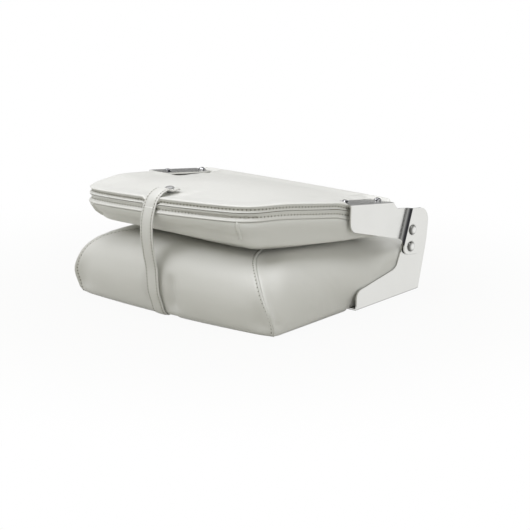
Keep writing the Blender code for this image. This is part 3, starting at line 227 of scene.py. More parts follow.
# The under-cushion's front leans in towards its bottom.
FRONT_LEAN = 0.024
FRONT_LEAN_REACHES = (0.27, 0.365)
FRONT_LEAN_SPAN = (0.115, 0.19)

# The zip band's folds: how far the vinyl stands out, and its height on the band.
UPPER_FLAP_PROFILE = (
    (-0.0034, 0.0731), (-0.001, 0.073), (-0.0004, 0.0724), (-0.001, 0.0716),
    (-0.0024, 0.0706), (-0.0029, 0.0698), (-0.0023, 0.0689), (-0.0002, 0.0676),
    (0.0013, 0.0665), (0.0016, 0.06565), (0.0008, 0.06515), (-0.0012, 0.0651),
)
LOWER_FLAP_PROFILE = (
    (-0.0018, 0.0643), (0.0002, 0.0643), (0.0008, 0.06385), (0.0001, 0.0629),
    (-0.0017, 0.0611), (-0.0028, 0.0593), (-0.0031, 0.0583), (-0.0023, 0.0572),
    (-0.0001, 0.0555), (0.0013, 0.054), (0.0017, 0.0528), (0.0006, 0.0519), (-0.003, 0.0516),
)
FLAP_ROWS = 34
FOLD_SIDE_SHARE = 0.35
FOLD_FRONT_REACHES = (0.3, 0.352)
STITCH_ROWS = {"upper": (-0.0027, 0.06975), "lower": (-0.0029, 0.05815)}

# Rear panel's rolled rim: how far out of the outline, and share of its rise.
RIM_PROFILE = (
    (-0.0024, -0.1), (0.0, 0.0), (0.0013, 0.22), (0.0014, 0.48), (0.0003, 0.76),
    (-0.0022, 0.92), (-0.0056, 0.985), (-0.011, 1.0),
)
RIM_ROWS = 22
RIM_SEAM_ROW = 18
REAR_PANEL_SHARES = (0.9, 0.82, 0.72, 0.6, 0.46, 0.32, 0.18, 0.06, 0.0)

# The under-cushion's boxing: outline scale, and share of the height above its lowest face.
BOXING_SHARES = (
    (0.993, 1.0), (0.999, 0.985), (1.004, 0.94), (1.008, 0.82), (1.009, 0.5), (1.002, 0.25),
    (0.985, 0.09), (0.955, 0.02), (0.86, 0.0),
)
BOXING_ROWS = 44
BOXING_SEAM_X = 0.1435
BOXING_SEAM_ROWS_SHARE = 0.6
BOXING_SEAM_PROFILE = (
    (-0.0022, -0.0006), (-0.0013, 0.0016), (0.0, 0.0025), (0.0013, 0.0016), (0.0022, -0.0006),
)
BOXING_HOLE_RADIUS = 0.0006
BOXING_STITCH_SHARE = 0.84  # of the way to the next point of the ring
UNDER_PANEL_SHARES = (0.76, 0.64, 0.5, 0.36, 0.22, 0.1, 0.0)

# The painted dark line where the arms step outwards, standing in for the step's dark reflection: where
# it begins and is full, forward of the hinge line, and how it leans. The other painted dark line, a
# dark reflection too, runs along the flanges' bends.
STEP_SHADE_BACK = (0.0178, 0.0192)
STEP_SHADE_FRONT = (0.0242, 0.0206)
STEP_ANGLE = math.radians(13.2)
BEND_SHADE_WIDTH = 0.0026
BEND_SHADE_BLUR = 0.0006

# Rivet heads: how far from the middle their painted highlight goes, and where their painted dark rim of
# shade is full.
RIVET_PAINTED_HIGHLIGHT = 0.003
RIVET_PAINTED_SHADE = 0.0078

# Strap and press-stud.
STRAP_X = -0.008
STRAP_WIDTH = 0.0255
STRAP_THICKNESS = 0.002
STRAP_TAIL = 0.07
STRAP_TAIL_GAP = 0.0022
STRAP_TAIL_HEIGHT = 0.0029
STRAP_TAIL_RISE = (0.018, 0.03)
STRAP_SEAT_PRESS = 0.0032
STRAP_PRESS_SHARES = (-0.13, 0.05)
STRAP_PRESS_FADE_SHARE = 0.09
SNAP_REACH = 0.334
SNAP_STAND_OFF = 0.0046
SNAP_CAP_RADIUS = 0.0074
STRAP_END_REACH = 0.32
STRAP_END_LIFT = 0.0006
STRAP_ROUTE_POINTS = 400
STRAP_ROWS = 150
STRAP_TAIL_ROWS = 40

# The strap's middle line: up the seat's front in shares of its depth and height, then over the
# backrest's rim as distances forward of it and above its rear face, which the strap dents.
STRAP_FRONT_SHARES = (
    (0.0485, 0.022), (0.069, 0.09), (0.0805, 0.19), (0.1, 0.357), (0.107, 0.539),
    (0.11041, 0.7), (0.124, 0.9), (0.13611, 1.152), (0.13326, 1.384), (0.11612, 1.562),
)
STRAP_WRAP_OFFSETS = (
    (0.0048, -0.02), (0.0014, -0.0085), (-0.0046, 0.0004), (-0.014, 0.0068), (-0.025, 0.0104),
)
STRAP_DENT = 0.0058
STRAP_DENT_SPAN = (0.0118, 0.017)
STRAP_DENT_REACHES = (0.352, 0.37)
STRAP_DENT_HEIGHTS = (0.058, 0.073)
STRAP_RIM_SHARE = 0.75

# The strap's section and its rounded tip, which starts as a share of the half width and keeps a
# least width to which the rounding adds.
STRAP_EDGE_POINTS = 9
STRAP_EDGE_STITCH = 0.0034
STRAP_STITCH_DIP = 0.0006
STRAP_DIP_OUTER = 0.0008
STRAP_DIP_INNER = 0.001
STRAP_DIP_SHOULDER = 0.0001
STRAP_PUFF = 0.0008
STRAP_PUFF_SHARES = (0.6, 0.35, 0.12)
STRAP_PLY_GROOVE = 0.0007
STRAP_TIP_SHARE = 0.8
STRAP_TIP_LEAST = 0.55
STRAP_TIP_ADDED = 0.45
STRAP_TIP_BLUNT = 0.02

# Simulated filling: voxel, how much smaller the cover starts, pressure, and how far a point may go.
PUFF_VOXEL = 0.006
PUFF_START = 0.003
PUFF_PRESSURE = 4.0
PUFF_BENDING = 0.2
PUFF_FRAMES = 20
PUFF_CAP = 0.005
PUFF_NEIGHBOURS = 5
PUFF_FREE_BELOW = 0.5
PUFF_HOLD_RUNS = (0.006, 0.03)

# What holds the covers while they are filled: brackets, board and strap on the seat, then strap and
# arms on the backrest's upper side. Each pair runs from free to held or from held to free.
SEAT_STEEL_X = (0.196, 0.206)
SEAT_STEEL_Y = (-0.03, 0.02)
SEAT_BOARD_Z = (0.004, 0.02)
SEAT_STRAP_FORWARD = (0.1, 0.16)
SEAT_STRAP_SHARE = 0.8
BACK_STRAP_REACHES = (0.28, 0.33)
BACK_ARM_X = (0.13, 0.16)
BACK_ARM_REACHES = (0.17, 0.2)
BACK_HELD_HEIGHTS = (0.05, 0.06)

# Thread. A stitch's profile: how far along it, how high above its line, and how thick.
STITCH_PROFILE = (
    (0.0, -0.7, 0.05), (0.08, -0.25, 0.75), (0.3, 0.25, 1.0),
    (0.7, 0.25, 1.0), (0.92, -0.25, 0.75), (1.0, -0.7, 0.05),
)
THREAD_SIDES = 6
THREAD_WIDTH_SHARE = 0.9
THREAD_HEIGHT_SHARE = 0.8
STITCH_PITCH = 0.0062
STRAP_STITCH_PITCH = 0.005
STITCH_LENGTH = 0.0036
THREAD_RADIUS = 0.00045
HOLE_RADIUS = 0.00125
HOLE_LENGTH_SHARE = 0.7
HOLE_LIFT = 0.0008
HOLE_SIDES = 8
STRAP_STITCH_LOWEST = 0.002
STRAP_STITCH_SPARED = 9  # rows without stitches at the strap's tip

# The plates' broken edges, and the studio.
EDGE_BREAK = 0.0006
EDGE_ANGLE = math.radians(50)
AMBIENT = 0.28
AMBIENT_COLOR = (1.0, 0.995, 0.82)
LAMP_COLOR = (0.985, 0.99, 1.04)
FLOOR_RADIUS = 6.0
FLOOR_DROP = 0.0002
FLOOR_FADE = (0.25, 0.75)
FLOOR_NEAR_WHITE = 0.93
CARD_DIRECTION = Vector((-0.613, 0.788, 0))
CARD_DISTANCE = 2.0
CARD_HEIGHT = 0.42
CARD_SCALE = (1.3, 0.45, 1)
LAMPS = (
    # name, place, size, watts, seen in polished metal
    ("overhead_softbox", (0.0, -0.2, 2.0), (2.0, 2.0), 27.5, True),
    ("front_softbox", (-0.6, -1.9, 1.8), (1.4, 1.0), 20.0, False),
    ("right_fill", (2.2, -0.2, 0.8), (1.2, 1.2), 10.0, False),
)


# Shader maths.

class Signal:
    """A shader socket that can be used in an expression."""

    def __init__(self, recipe, socket):
        self.recipe = recipe
        self.socket = socket

    def math(self, operation, first, second=None):
        sockets = {0: first}
        if second is not None:
            sockets[1] = second
        return self.recipe.node("ShaderNodeMath", {"operation": operation}, sockets)[0]

    def __add__(self, other):
        return self.math("ADD", self, other)

    __radd__ = __add__

    def __mul__(self, other):
        return self.math("MULTIPLY", self, other)

    __rmul__ = __mul__

    def __sub__(self, other):
        return self.math("SUBTRACT", self, other)

    def __rsub__(self, other):
        return self.math("SUBTRACT", other, self)

    def __truediv__(self, other):
        return self.math("DIVIDE", self, other)

    def clamped(self):
        return self.recipe.node("ShaderNodeClamp", None, {"Value": self})[0]


class Recipe:
    """One material's or world's nodes."""

    def __init__(self, owner):
        owner.use_nodes = True
        self.tree = owner.node_tree
        self.shader = self.tree.nodes.get("Principled BSDF")

    def node(self, kind, settings=None, sockets=None):
        """A node with its settings made first, then its sockets' values or links: its outputs."""
        made = self.tree.nodes.new(kind)
        for name, value in (settings or {}).items():
            if name == "stops":
                self.set_stops(made.color_ramp, value)
            else:
                setattr(made, name, value)
        for name, value in (sockets or {}).items():
            self.feed(made.inputs[name], value)
        return [Signal(self, output) for output in made.outputs]

    def set_stops(self, ramp, stops):
        while len(ramp.elements) < len(stops):
            ramp.elements.new(1.0)
        for element, (place, color) in zip(ramp.elements, stops):
            element.position = place
            element.color = (*color, 1.0)

    def feed(self, socket, value):
        if isinstance(value, Signal):
            self.tree.links.new(value.socket, socket)
        elif hasattr(value, "__len__") and len(value) == 3 and socket.type == "RGBA":
            socket.default_value = (*value, 1.0)
        else:
            socket.default_value = value

    def set(self, **values):
        for name, value in values.items():
            self.feed(self.shader.inputs[name.replace("_", " ")], value)

    def metal(self, factor, first, second, roughness, **values):
        self.set(Metallic=1.0, Base_Color=self.mix(factor, first, second), **values)
        self.set(Roughness=roughness)

    def place(self):
        return self.node("ShaderNodeTexCoord")[3]

    def noise(self, scale, detail=2.0, roughness=0.5, vector=None):
        sockets = {"Scale": scale, "Detail": detail, "Roughness": roughness}
        sockets["Vector"] = vector or self.place()
        return self.node("ShaderNodeTexNoise", None, sockets)[0]

    def stretched(self, scale):
        """The piece's own coordinates, drawn out along an axis."""
        return self.node("ShaderNodeMapping", None, {"Vector": self.place(), "Scale": scale})[0]

    def mix(self, factor, first, second):
        return self.node("ShaderNodeMix", {"data_type": "RGBA"}, {0: factor, 6: first, 7: second})[2]

    def eased(self, value, start, end, low=0.0, high=1.0):
        """low at start and high at end, eased between them."""
        return self.node("ShaderNodeMapRange", {"interpolation_type": "SMOOTHSTEP"}, {
            "Value": value, "From Min": start, "From Max": end, "To Min": low, "To Max": high,
        })[0]

    def parts(self, vector):
        return self.node("ShaderNodeSeparateXYZ", None, {"Vector": vector})

    def length(self, vector):
        return self.node("ShaderNodeVectorMath", {"operation": "LENGTH"}, {0: vector})[1]

    def crevice(self, reach, local=False):
        """Ambient occlusion, used for painted shade: 1 in the open, falling towards 0 deep in folds and
        gaps.
        """
        settings = {"samples": 8, "only_local": local}
        return self.node("ShaderNodeAmbientOcclusion", settings, {"Distance": reach})[1]

    def bump(self, height, strength, distance, under=None):
        sockets = {"Height": height, "Strength": strength, "Distance": distance}
        if under:
            sockets["Normal"] = under
        return self.node("ShaderNodeBump", None, sockets)[0]


made_finishes = {}


def finish(name):
    """The named material, made once."""
    if name not in made_finishes:
        material = bpy.data.materials.new(name)
        FINISHES[name](Recipe(material))
        made_finishes[name] = material
    return made_finishes[name]


def vinyl_finish(recipe, light=(0.77, 0.768, 0.742), deep=(0.732, 0.729, 0.7)):
    """Marine vinyl: a fine pebble grain, slightly uneven colour, a soft sheen and painted shade deep in
    its own folds.
    """
    cloud = recipe.noise(14, 3)
    grain = recipe.node("ShaderNodeTexVoronoi", {"feature": "SMOOTH_F1"}, {
        "Vector": recipe.place(), "Scale": 1150.0, "Smoothness": 0.6,
    })[0]
    pores = recipe.noise(2600, 3)
    dents = recipe.noise(38, 2)
    fine = recipe.bump(grain + pores * 0.5, 0.16, 0.00018)
    # Painted shade: the colour darkens to a dull olive grey deep in the vinyl's own folds and seams.
    free_of_painted_shade = ((recipe.crevice(0.005, True) - 0.25) / 0.5).clamped()
    recipe.set(
        Base_Color=recipe.mix(free_of_painted_shade, (0.42, 0.41, 0.35), recipe.mix(cloud, light, deep)),
        Roughness=0.4 + 0.12 * pores,
        Normal=recipe.bump(dents, 0.3, 0.0016, fine),
    )


def thread_finish(recipe):
    twist = recipe.node("ShaderNodeTexWave", {"wave_type": "BANDS", "bands_direction": "DIAGONAL"}, {
        "Vector": recipe.place(), "Scale": 700.0, "Distortion": 0.0,
    })[1]
    recipe.set(Base_Color=(0.66, 0.65, 0.6), Roughness=0.55, Normal=recipe.bump(twist, 0.5, 0.0001))


def strap_finish(recipe):
    """The strap's vinyl is a shade darker than the covers'."""
    vinyl_finish(recipe, (0.735, 0.732, 0.704), (0.699, 0.696, 0.665))


def hole_shade_finish(recipe):
    # Painted shade: dark discs stand in for the shade inside the needle holes.
    depth = recipe.noise(900, 2)
    recipe.set(Base_Color=recipe.mix(depth, (0.24, 0.23, 0.19), (0.15, 0.14, 0.11)), Roughness=0.7)


def edge_steel(recipe):
    """The sheared edges of the plates: duller than their faces, and painted darker as shade outlining
    the plates.
    """
    shear = recipe.noise(700, 3, 0.6, recipe.stretched((1.0, 1.0, 0.1)))
    recipe.metal(shear, (0.34, 0.34, 0.35), (0.24, 0.24, 0.25), 0.52 + 0.15 * shear)


def polished_steel(recipe):
    """Rolled sheet, buffed along its length: faint streaks, a few rubbed marks, and painted shade in
    gaps and under parts close to it.
    """
    streaks = recipe.noise(900, 3, 0.6, recipe.stretched((0.06, 0.06, 1.0)))
    smudge = recipe.noise(22, 4)
    # Painted shade: the colour darkens towards near black in narrow gaps and where other parts stand
    # close.
    free_of_painted_shade = ((recipe.crevice(0.0035) - 0.45) / 0.5).clamped()
    plain = recipe.mix(smudge, (0.78, 0.78, 0.755), (0.73, 0.73, 0.705))
    roughness = 0.16 + 0.1 * streaks + 0.06 * smudge
    normal = recipe.bump(streaks, 0.1, 0.00006)
    recipe.metal(free_of_painted_shade, (0.2, 0.2, 0.19), plain, roughness, Normal=normal)


def arm_steel(recipe):
    """The arms' steel, with painted dark reflection where the plate steps out to the hinge and along
    the flanges' bends.
    """
    polished_steel(recipe)
    across = (math.cos(STEP_ANGLE + FOLDED_TILT), math.sin(STEP_ANGLE + FOLDED_TILT))
    place = recipe.parts(recipe.place())
    run = (place[1] - HINGE.y) * -across[0] + (place[2] - HINGE.z) * across[1]
    step = recipe.eased(run, *STEP_SHADE_BACK) * recipe.eased(run, *STEP_SHADE_FRONT)
    upward = recipe.parts(recipe.node("ShaderNodeTexCoord")[1])[2]
    side = recipe.node("ShaderNodeMath", {"operation": "ABSOLUTE"}, {0: place[0]})[0]
    bend = ((side - (ARM_OUTER_X - BEND_SHADE_WIDTH)) / BEND_SHADE_BLUR).clamped()
    bend = bend * ((upward - 0.8) / 0.1).clamped()
    # Painted reflection: the step and bend lines are painted near black in place of the dark
    # reflections the steel shows there.
    line = (step + bend).clamped()
    bright = recipe.shader.inputs["Base Color"].links[0].from_socket
    recipe.set(Base_Color=recipe.mix(line, Signal(recipe, bright), (0.03, 0.03, 0.034)))


def rivet_steel(recipe):
    """Spun rivet heads: a painted highlight on the crown and painted shade darkening them towards the
    rim.
    """
    spin = recipe.noise(420, 3, 0.6)
    place = recipe.parts(recipe.place())
    rims = []
    for center in (HINGE, STOP):
        offsets = {1: place[1] - center.y, 2: place[2] - center.z}
        away = recipe.length(recipe.node("ShaderNodeCombineXYZ", None, offsets)[0])
        rims.append(recipe.eased(away, RIVET_PAINTED_HIGHLIGHT, RIVET_PAINTED_SHADE))
    normal = recipe.bump(spin, 0.12, 0.00008)
    # Painted light: bright steel at the crown, near black towards the rim.
    shade = rims[0] * rims[1]
    recipe.metal(shade, (0.8, 0.8, 0.78), (0.13, 0.13, 0.12), 0.14 + 0.14 * spin, Normal=normal)


def screw_chrome(recipe):
    # Painted reflection: near-black heads stand in for dark reflections, with painted white glints
    # scattered over them.
    speckle = recipe.noise(420, 1)
    painted_glint = ((speckle - 0.5) / 0.08).clamped()
    recipe.metal(painted_glint, (0.035, 0.035, 0.04), (0.62, 0.62, 0.62), 0.1 + 0.1 * speckle)


def nickel_finish(recipe):
    wear = recipe.noise(380, 3)
    recipe.metal(wear, (0.22, 0.22, 0.22), (0.38, 0.38, 0.37), 0.34 + 0.2 * wear)


def zinc_finish(recipe):
    spangle = recipe.node("ShaderNodeTexVoronoi", None, {"Vector": recipe.place(), "Scale": 420.0})[0]
    recipe.metal(spangle, (0.66, 0.66, 0.63), (0.52, 0.53, 0.52), 0.3 + 0.18 * spangle)


def plywood_finish(recipe):
    """Birch ply: fine long grain over slow darker bands."""
    fibre = recipe.noise(260, 5, 0.65, recipe.stretched((0.08, 1.0, 1.0)))
    rings = recipe.noise(18, 3, 0.5, recipe.stretched((0.15, 1.0, 1.0)))
    recipe.set(
        Base_Color=recipe.mix(
            (fibre * 0.6 + rings * 0.5).clamped(), (0.56, 0.4, 0.24), (0.36, 0.22, 0.11),
        ),
        Roughness=0.62 + 0.15 * fibre,
        Normal=recipe.bump(fibre, 0.35, 0.0003),
    )


def nylon_finish(recipe):
    weave = recipe.node("ShaderNodeTexBrick", {"offset": 0.5}, {
        "Vector": recipe.place(), "Scale": 900.0, "Mortar Size": 0.08,
    })[1]
    recipe.set(
        Base_Color=recipe.mix(weave, (0.6, 0.59, 0.55), (0.36, 0.35, 0.32)),
        Roughness=0.48 + 0.15 * weave,
        Normal=recipe.bump(weave, 0.3, 0.0001),
    )


FINISHES = {
    "marine_vinyl": vinyl_finish,
    "strap_vinyl": strap_finish,
    "sewing_thread": thread_finish,
    "needle_hole_shade": hole_shade_finish,
    "edge_steel": edge_steel,
    "polished_steel": polished_steel,
    "arm_steel": arm_steel,
    "rivet_steel": rivet_steel,
    "screw_chrome": screw_chrome,
    "dull_nickel": nickel_finish,
    "zinc_plate": zinc_finish,
    "birch_plywood": plywood_finish,
    "zip_nylon": nylon_finish,
}


# Shapes.

def smooth_between(low, high, value):
    t = np.clip((value - low) / (high - low), 0.0, 1.0)
    return t * t * (3 - 2 * t)


def window(value, edges, most=1.0):
    """Rises from 0 to most between the first two edges and falls back between the last two."""
    low, rise, ease, high = edges
    return most * smooth_between(low, rise, value) * (1 - smooth_between(ease, high, value))


def spline(points, count):
    """Evenly counted points on a Catmull-Rom curve through the given points of any dimension."""
    points = np.asarray(points, float)
    ends = np.concatenate([points[:1], points, points[-1:]])
    place = np.linspace(0, len(points) - 1, count)
    k = np.minimum(place.astype(int), len(points) - 2)
    t = (place - k)[:, None]
    return (
        (-t + 2 * t**2 - t**3) / 2 * ends[k] + (2 - 5 * t**2 + 3 * t**3) / 2 * ends[k + 1]
        + (t + 4 * t**2 - 3 * t**3) / 2 * ends[k + 2] + (t**3 - t**2) / 2 * ends[k + 3]
    )


def distances(line):
    """How far along a line each of its points is."""
    return np.concatenate([[0], np.cumsum(np.linalg.norm(np.diff(line, axis=0), axis=1))])


def along(run, spots, values):
    """A line's values at the given distances along it, where run holds its points' distances."""
    return np.stack([np.interp(spots, run, values[:, i]) for i in range(values.shape[1])], 1)


def evenly(points, count, closed=False):
    """Points spaced evenly along a line of points."""
    points = np.asarray(points, float)
    if closed:
        points = np.concatenate([points, points[:1]])
    run = distances(points)
    spots = np.linspace(0, run[-1], count + 1)[:-1] if closed else np.linspace(0, run[-1], count)
    return along(run, spots, points)


def unit(vectors):
    return vectors / np.maximum(np.linalg.norm(vectors, axis=-1, keepdims=True), TINY_NORMAL)


def linked(name, data):
    made = bpy.data.objects.new(name, data)
    bpy.context.scene.collection.objects.link(made)
    return made


def add_object(name, mesh, material):
    mesh.materials.append(finish(material))
    return linked(name, mesh)


def reworked(mesh, *steps):
    """Puts a mesh through bmesh steps, each a function of the mesh's form."""
    form = bmesh.new()
    form.from_mesh(mesh)
    for step in steps:
        step(form)
    form.to_mesh(mesh)
    form.free()
    return mesh


def weld(form):
    bmesh.ops.remove_doubles(form, verts=form.verts, dist=WELD)


def close_holes(form):
    bmesh.ops.holes_fill(form, edges=form.edges)


def triangulate(form):
    bmesh.ops.triangulate(form, faces=form.faces)


def face_outwards(form):
    bmesh.ops.recalc_face_normals(form, faces=form.faces)


def surface(name, grid, material, loop=False, flip=False):
    """A surface through rows of points. loop joins each row's ends; flip turns its faces over."""
    rows, columns = grid.shape[:2]
    index = np.arange(rows * columns).reshape(rows, columns)
    if loop:
        index = np.concatenate([index, index[:, :1]], axis=1)
    quads = np.stack([index[:-1, :-1], index[:-1, 1:], index[1:, 1:], index[1:, :-1]], -1)
    quads = quads.reshape(-1, 4)
    if flip:
        quads = quads[:, ::-1]
    mesh = bpy.data.meshes.new(name)
    mesh.from_pydata(grid.reshape(-1, 3).tolist(), [], quads.tolist())
    reworked(mesh, weld).shade_smooth()
    return add_object(name, mesh, material)


def vinyl_panel(name, grid, **how):
    """A surface of marine vinyl with its real thickness."""
    made = surface(name, grid, "marine_vinyl", **how)
    layer = made.modifiers.new("thickness", "SOLIDIFY")
    layer.thickness = VINYL
    layer.offset = -1
    layer.use_even_offset = False
    return made


# Cushions filled by simulation.

def closed_copy(name, grid, loop):
    """A closed object of even small faces through the grid, with its open side filled."""
    made = surface(name, grid, "marine_vinyl", loop=loop)
    reworked(made.data, close_holes, triangulate, face_outwards)
    even = made.modifiers.new("even", "REMESH")
    even.mode = "VOXEL"
    even.voxel_size = PUFF_VOXEL
    fine = bpy.data.meshes.new_from_object(made.evaluated_get(bpy.context.evaluated_depsgraph_get()))
    made.modifiers.clear()
    made.data = fine
    return made


def points_of(mesh):
    points = np.empty(len(mesh.vertices) * 3)
    mesh.vertices.foreach_get("co", points)
    return points.reshape(-1, 3)


def normals_of(mesh):
    return np.array([vertex.normal[:] for vertex in mesh.vertices])


def tree_of(points):
    tree = KDTree(len(points))
    for k, point in enumerate(points):
        tree.insert(point, k)
    tree.balance()
    return tree


def filled(name, grid, loop, held):
    """Where the foam pushes the cover, found by cloth simulation with pressure inside.

    held gives 0 to 1 for points that seams, boards and brackets keep in place. Returns a function
    that moves any points near the cover's surface as the simulation moved it.
    """
    made = closed_copy(name, grid, loop)
    before, out = points_of(made.data), normals_of(made.data)
    grip = held(before)
    start = before - out * (PUFF_START * (1 - grip))[:, None]
    made.data.vertices.foreach_set("co", start.ravel())
    group = made.vertex_groups.new(name="held")
    for k, weight in enumerate(grip):
        group.add([k], float(weight), "REPLACE")
    cloth = made.modifiers.new("cover", "CLOTH")
    cloth.settings.use_pressure = True
    cloth.settings.uniform_pressure_force = PUFF_PRESSURE
    cloth.settings.vertex_group_mass = "held"
    cloth.settings.effector_weights.gravity = 0
    cloth.settings.bending_stiffness = PUFF_BENDING
    cloth.collision_settings.use_collision = False
    cloth.collision_settings.use_self_collision = False
    scene = bpy.context.scene
    for step in range(1, PUFF_FRAMES + 1):
        scene.frame_set(step)
    shown = made.evaluated_get(bpy.context.evaluated_depsgraph_get())
    moved = points_of(shown.data) - before
    scene.frame_set(1)
    bpy.data.objects.remove(made)
    free = grip < PUFF_FREE_BELOW
    moved -= out * np.mean(np.sum(moved[free] * out[free], axis=1)) * (1 - grip)[:, None]
    far = np.linalg.norm(moved, axis=1, keepdims=True)
    moved *= np.minimum(1.0, PUFF_CAP / np.maximum(far, TINY))
    tree = tree_of(before)

    def follow(points):
        flat = points.reshape(-1, 3)
        shift = np.zeros_like(flat)
        for k, point in enumerate(flat):
            near = tree.find_n(point, PUFF_NEIGHBOURS)
            weights = np.array([1 / (distance + PUFF_VOXEL / 4) for _, _, distance in near])
            shift[k] = weights @ moved[[index for _, index, _ in near]] / weights.sum()
        return points + shift.reshape(points.shape)

    return follow


# Seat cushion.

def lowest(y, share=None):
    """The height of the floor or bracket flange, and of the strap, under the cover's lower edge."""
    least = FLANGE_LIFT * smooth_between(FLANGE_FRONT_Y - 2 * LIFT_LEAD, FLANGE_FRONT_Y - LIFT_LEAD, y)
    if share is None:
        return least
    low, high = STRAP_PRESS_SHARES
    fade = STRAP_PRESS_FADE_SHARE
    rise = window(share, (low - fade, low, high, high + fade))
    return least + np.where(y < 0, STRAP_SEAT_PRESS * rise, 0)


def seat_stations():
    """Middle line, seam line and side base line of the skin, as arrays of points."""
    shares = spline(SEAT_STATION_SHARES, 8 * SEAT_ROWS)
    run = distances(shares[:, :2] * (SEAT_DEPTH, SEAT_HEIGHT))
    shares = along(run, np.linspace(0, run[-1], SEAT_ROWS), shares)
    mid_y, mid_z, seam_x, seam_y, seam_z, base_y = shares.T
    half, flat = SEAT_WIDTH / 2, np.zeros(SEAT_ROWS)
    middle = np.stack([flat, SEAT_FRONT_Y + mid_y * SEAT_DEPTH, mid_z * SEAT_HEIGHT], 1)
    seam = np.stack([seam_x * half, SEAT_FRONT_Y + seam_y * SEAT_DEPTH, seam_z * SEAT_HEIGHT], 1)
    base = np.stack([flat + half - SEAT_BASE_INSET, SEAT_FRONT_Y + base_y * SEAT_DEPTH, flat], 1)
    return middle, seam, base


def seat_center(middle, seam):
    share = np.linspace(-1, 1, SEAT_CENTER_COLUMNS)[None, :]
    bend = np.abs(share) ** SEAT_CROWN_POWER
    x = share * seam[:, :1]
    y = middle[:, 1:2] + (seam[:, 1:2] - middle[:, 1:2]) * share**2
    z = middle[:, 2:] + (seam[:, 2:] - middle[:, 2:]) * bend
    z = np.maximum(z, lowest(y, share))
    return np.stack([x, y, z], -1)


def seat_side(seam, base):
    """Points from the right seam out over the side and down to the base."""
    base, seam = base.copy(), seam.copy()
    base[:, 2] = np.maximum(base[:, 2], lowest(base[:, 1]))
    seam[:, 2] = np.maximum(seam[:, 2], lowest(seam[:, 1]))
    swell = smooth_between(0, SIDE_SWELL_START_SHARE * SEAT_HEIGHT, seam[:, 2])
    run = base - seam
    out, low = seam.copy(), base.copy()
    out[:, 0] += SIDE_OUT_SHARE * swell * (SEAT_WIDTH / 2 + SEAT_SIDE_SWELL - seam[:, 0])
    out[:, 1] += SIDE_LEAD_SHARE * run[:, 1]
    out[:, 2] += swell * SEAT_SHOULDER
    low[:, 0] += swell * SEAT_SIDE_SWELL
    low[:, 1] -= SIDE_LOW_LEAD_SHARE * run[:, 1]
    low[:, 2] -= run[:, 2] / 2
    t = np.linspace(0, 1, SEAT_SIDE_COLUMNS)[None, :, None]
    fill = SIDE_FILL * smooth_between(*(HINGE.y + lead for lead in SIDE_FILL_LEAD), base[:, 1])
    seam, out, low, base = (line[:, None, :] for line in (seam, out, low, base))
    side = (1 - t) ** 3 * seam + 3 * t * (1 - t) ** 2 * out + 3 * t**2 * (1 - t) * low + t**3 * base
    above = smooth_between(*SIDE_FILL_HEIGHTS, side[..., 2])
    side[..., 0] += fill[:, None] * (1 - np.abs(2 * t - 1) ** SIDE_FILL_POWER)[..., 0] * above
    flush = window(side[..., 2], HAUNCH_HEIGHTS) * smooth_between(*HAUNCH_DEPTHS, side[..., 1])
    flush = flush * smooth_between(*HAUNCH_SPAN, side[..., 0])
    side[..., 0] = np.minimum(side[..., 0] + HAUNCH * flush, SIDE_MOST_X)
    return side


def blunted(grid, seam_column):
    """Draws the skin in round the bottom of the front corners, where it folds over the board."""
    for column, sign in ((seam_column, 1), (grid.shape[1] - 1 - seam_column, -1)):
        corner = grid[:, column:column + 1]
        gap = np.linalg.norm(grid - corner, axis=2)
        near = np.exp(-(gap / CORNER_BLUNT_RUN) ** 2) * (grid[..., 1] < 0)
        amount = CORNER_BLUNT * near * (1 - smooth_between(0, CORNER_BLUNT_HEIGHT, grid[..., 2]))
        grid[..., 0] -= sign * amount
        grid[..., 1] += amount
    return grid


def drawn_in(grid, seam_column):
    """The skin pulled in on both sides of its seams, and creased beside the strap."""
    out = outward(grid)
    x, y, z = np.moveaxis(grid, -1, 0)
    depth = np.zeros(z.shape)
    for column, side_columns in (
        (seam_column, slice(seam_column, None)),
        (grid.shape[1] - 1 - seam_column, slice(None, grid.shape[1] - seam_column)),
    ):
        gap = np.linalg.norm(grid - grid[:, column:column + 1], axis=2) / SEAM_VALLEY_GAP
        valley = gap * np.exp((1 - gap**2) / 2)
        low, rise, ease, high = SEAM_VALLEY_HEIGHTS
        amount = np.full(z.shape, SEAM_VALLEY_FRONT)
        amount = amount * (1 - smooth_between(ease, high, z))
        amount[:, side_columns] = SEAM_VALLEY_SIDE
        valley = valley * amount * smooth_between(low, rise, z)
        depth += valley * (1 - smooth_between(*SEAM_VALLEY_FADE, y))
    beside = (x - STRAP_X - STRAP_CREASE_GAP) / STRAP_CREASE_RUN
    crease = np.exp(-(beside**2)) * (y < STRAP_CREASE_FRONT)
    depth += window(z, STRAP_CREASE_HEIGHTS, STRAP_CREASE * crease)
    return grid - out * depth[..., None]


def seat_skin():
    """The whole skin in rows, each from the left base edge over both seams to the right one."""
    middle, seam, base = seat_stations()
    side = seat_side(seam, base)
    center = seat_center(middle, seam)[:, 1:-1]
    skin = np.concatenate([side[:, ::-1] * MIRROR, center, side], axis=1)
    seam_column = skin.shape[1] - SEAT_SIDE_COLUMNS
    return drawn_in(blunted(skin, seam_column), seam_column)


def outward(grid):
    """Unit normals of a grid whose rows run along X."""
    along = np.gradient(grid, axis=1)
    onward = np.gradient(grid, axis=0)
    return unit(np.cross(along, onward))


def at_distance(run, values, distance):
    """Each row's value at a distance along it, where run holds the distances of its points."""
    spot = np.clip(distance, 0, run[:, -1])
    k = np.clip(np.sum(run <= spot[:, None], axis=1) - 1, 0, run.shape[1] - 2)
    rows = np.arange(len(run))
    gap = np.maximum(run[rows, k + 1] - run[rows, k], TINY)
    t = ((spot - run[rows, k]) / gap)[:, None]
    return values[rows, k] * (1 - t) + values[rows, k + 1] * t


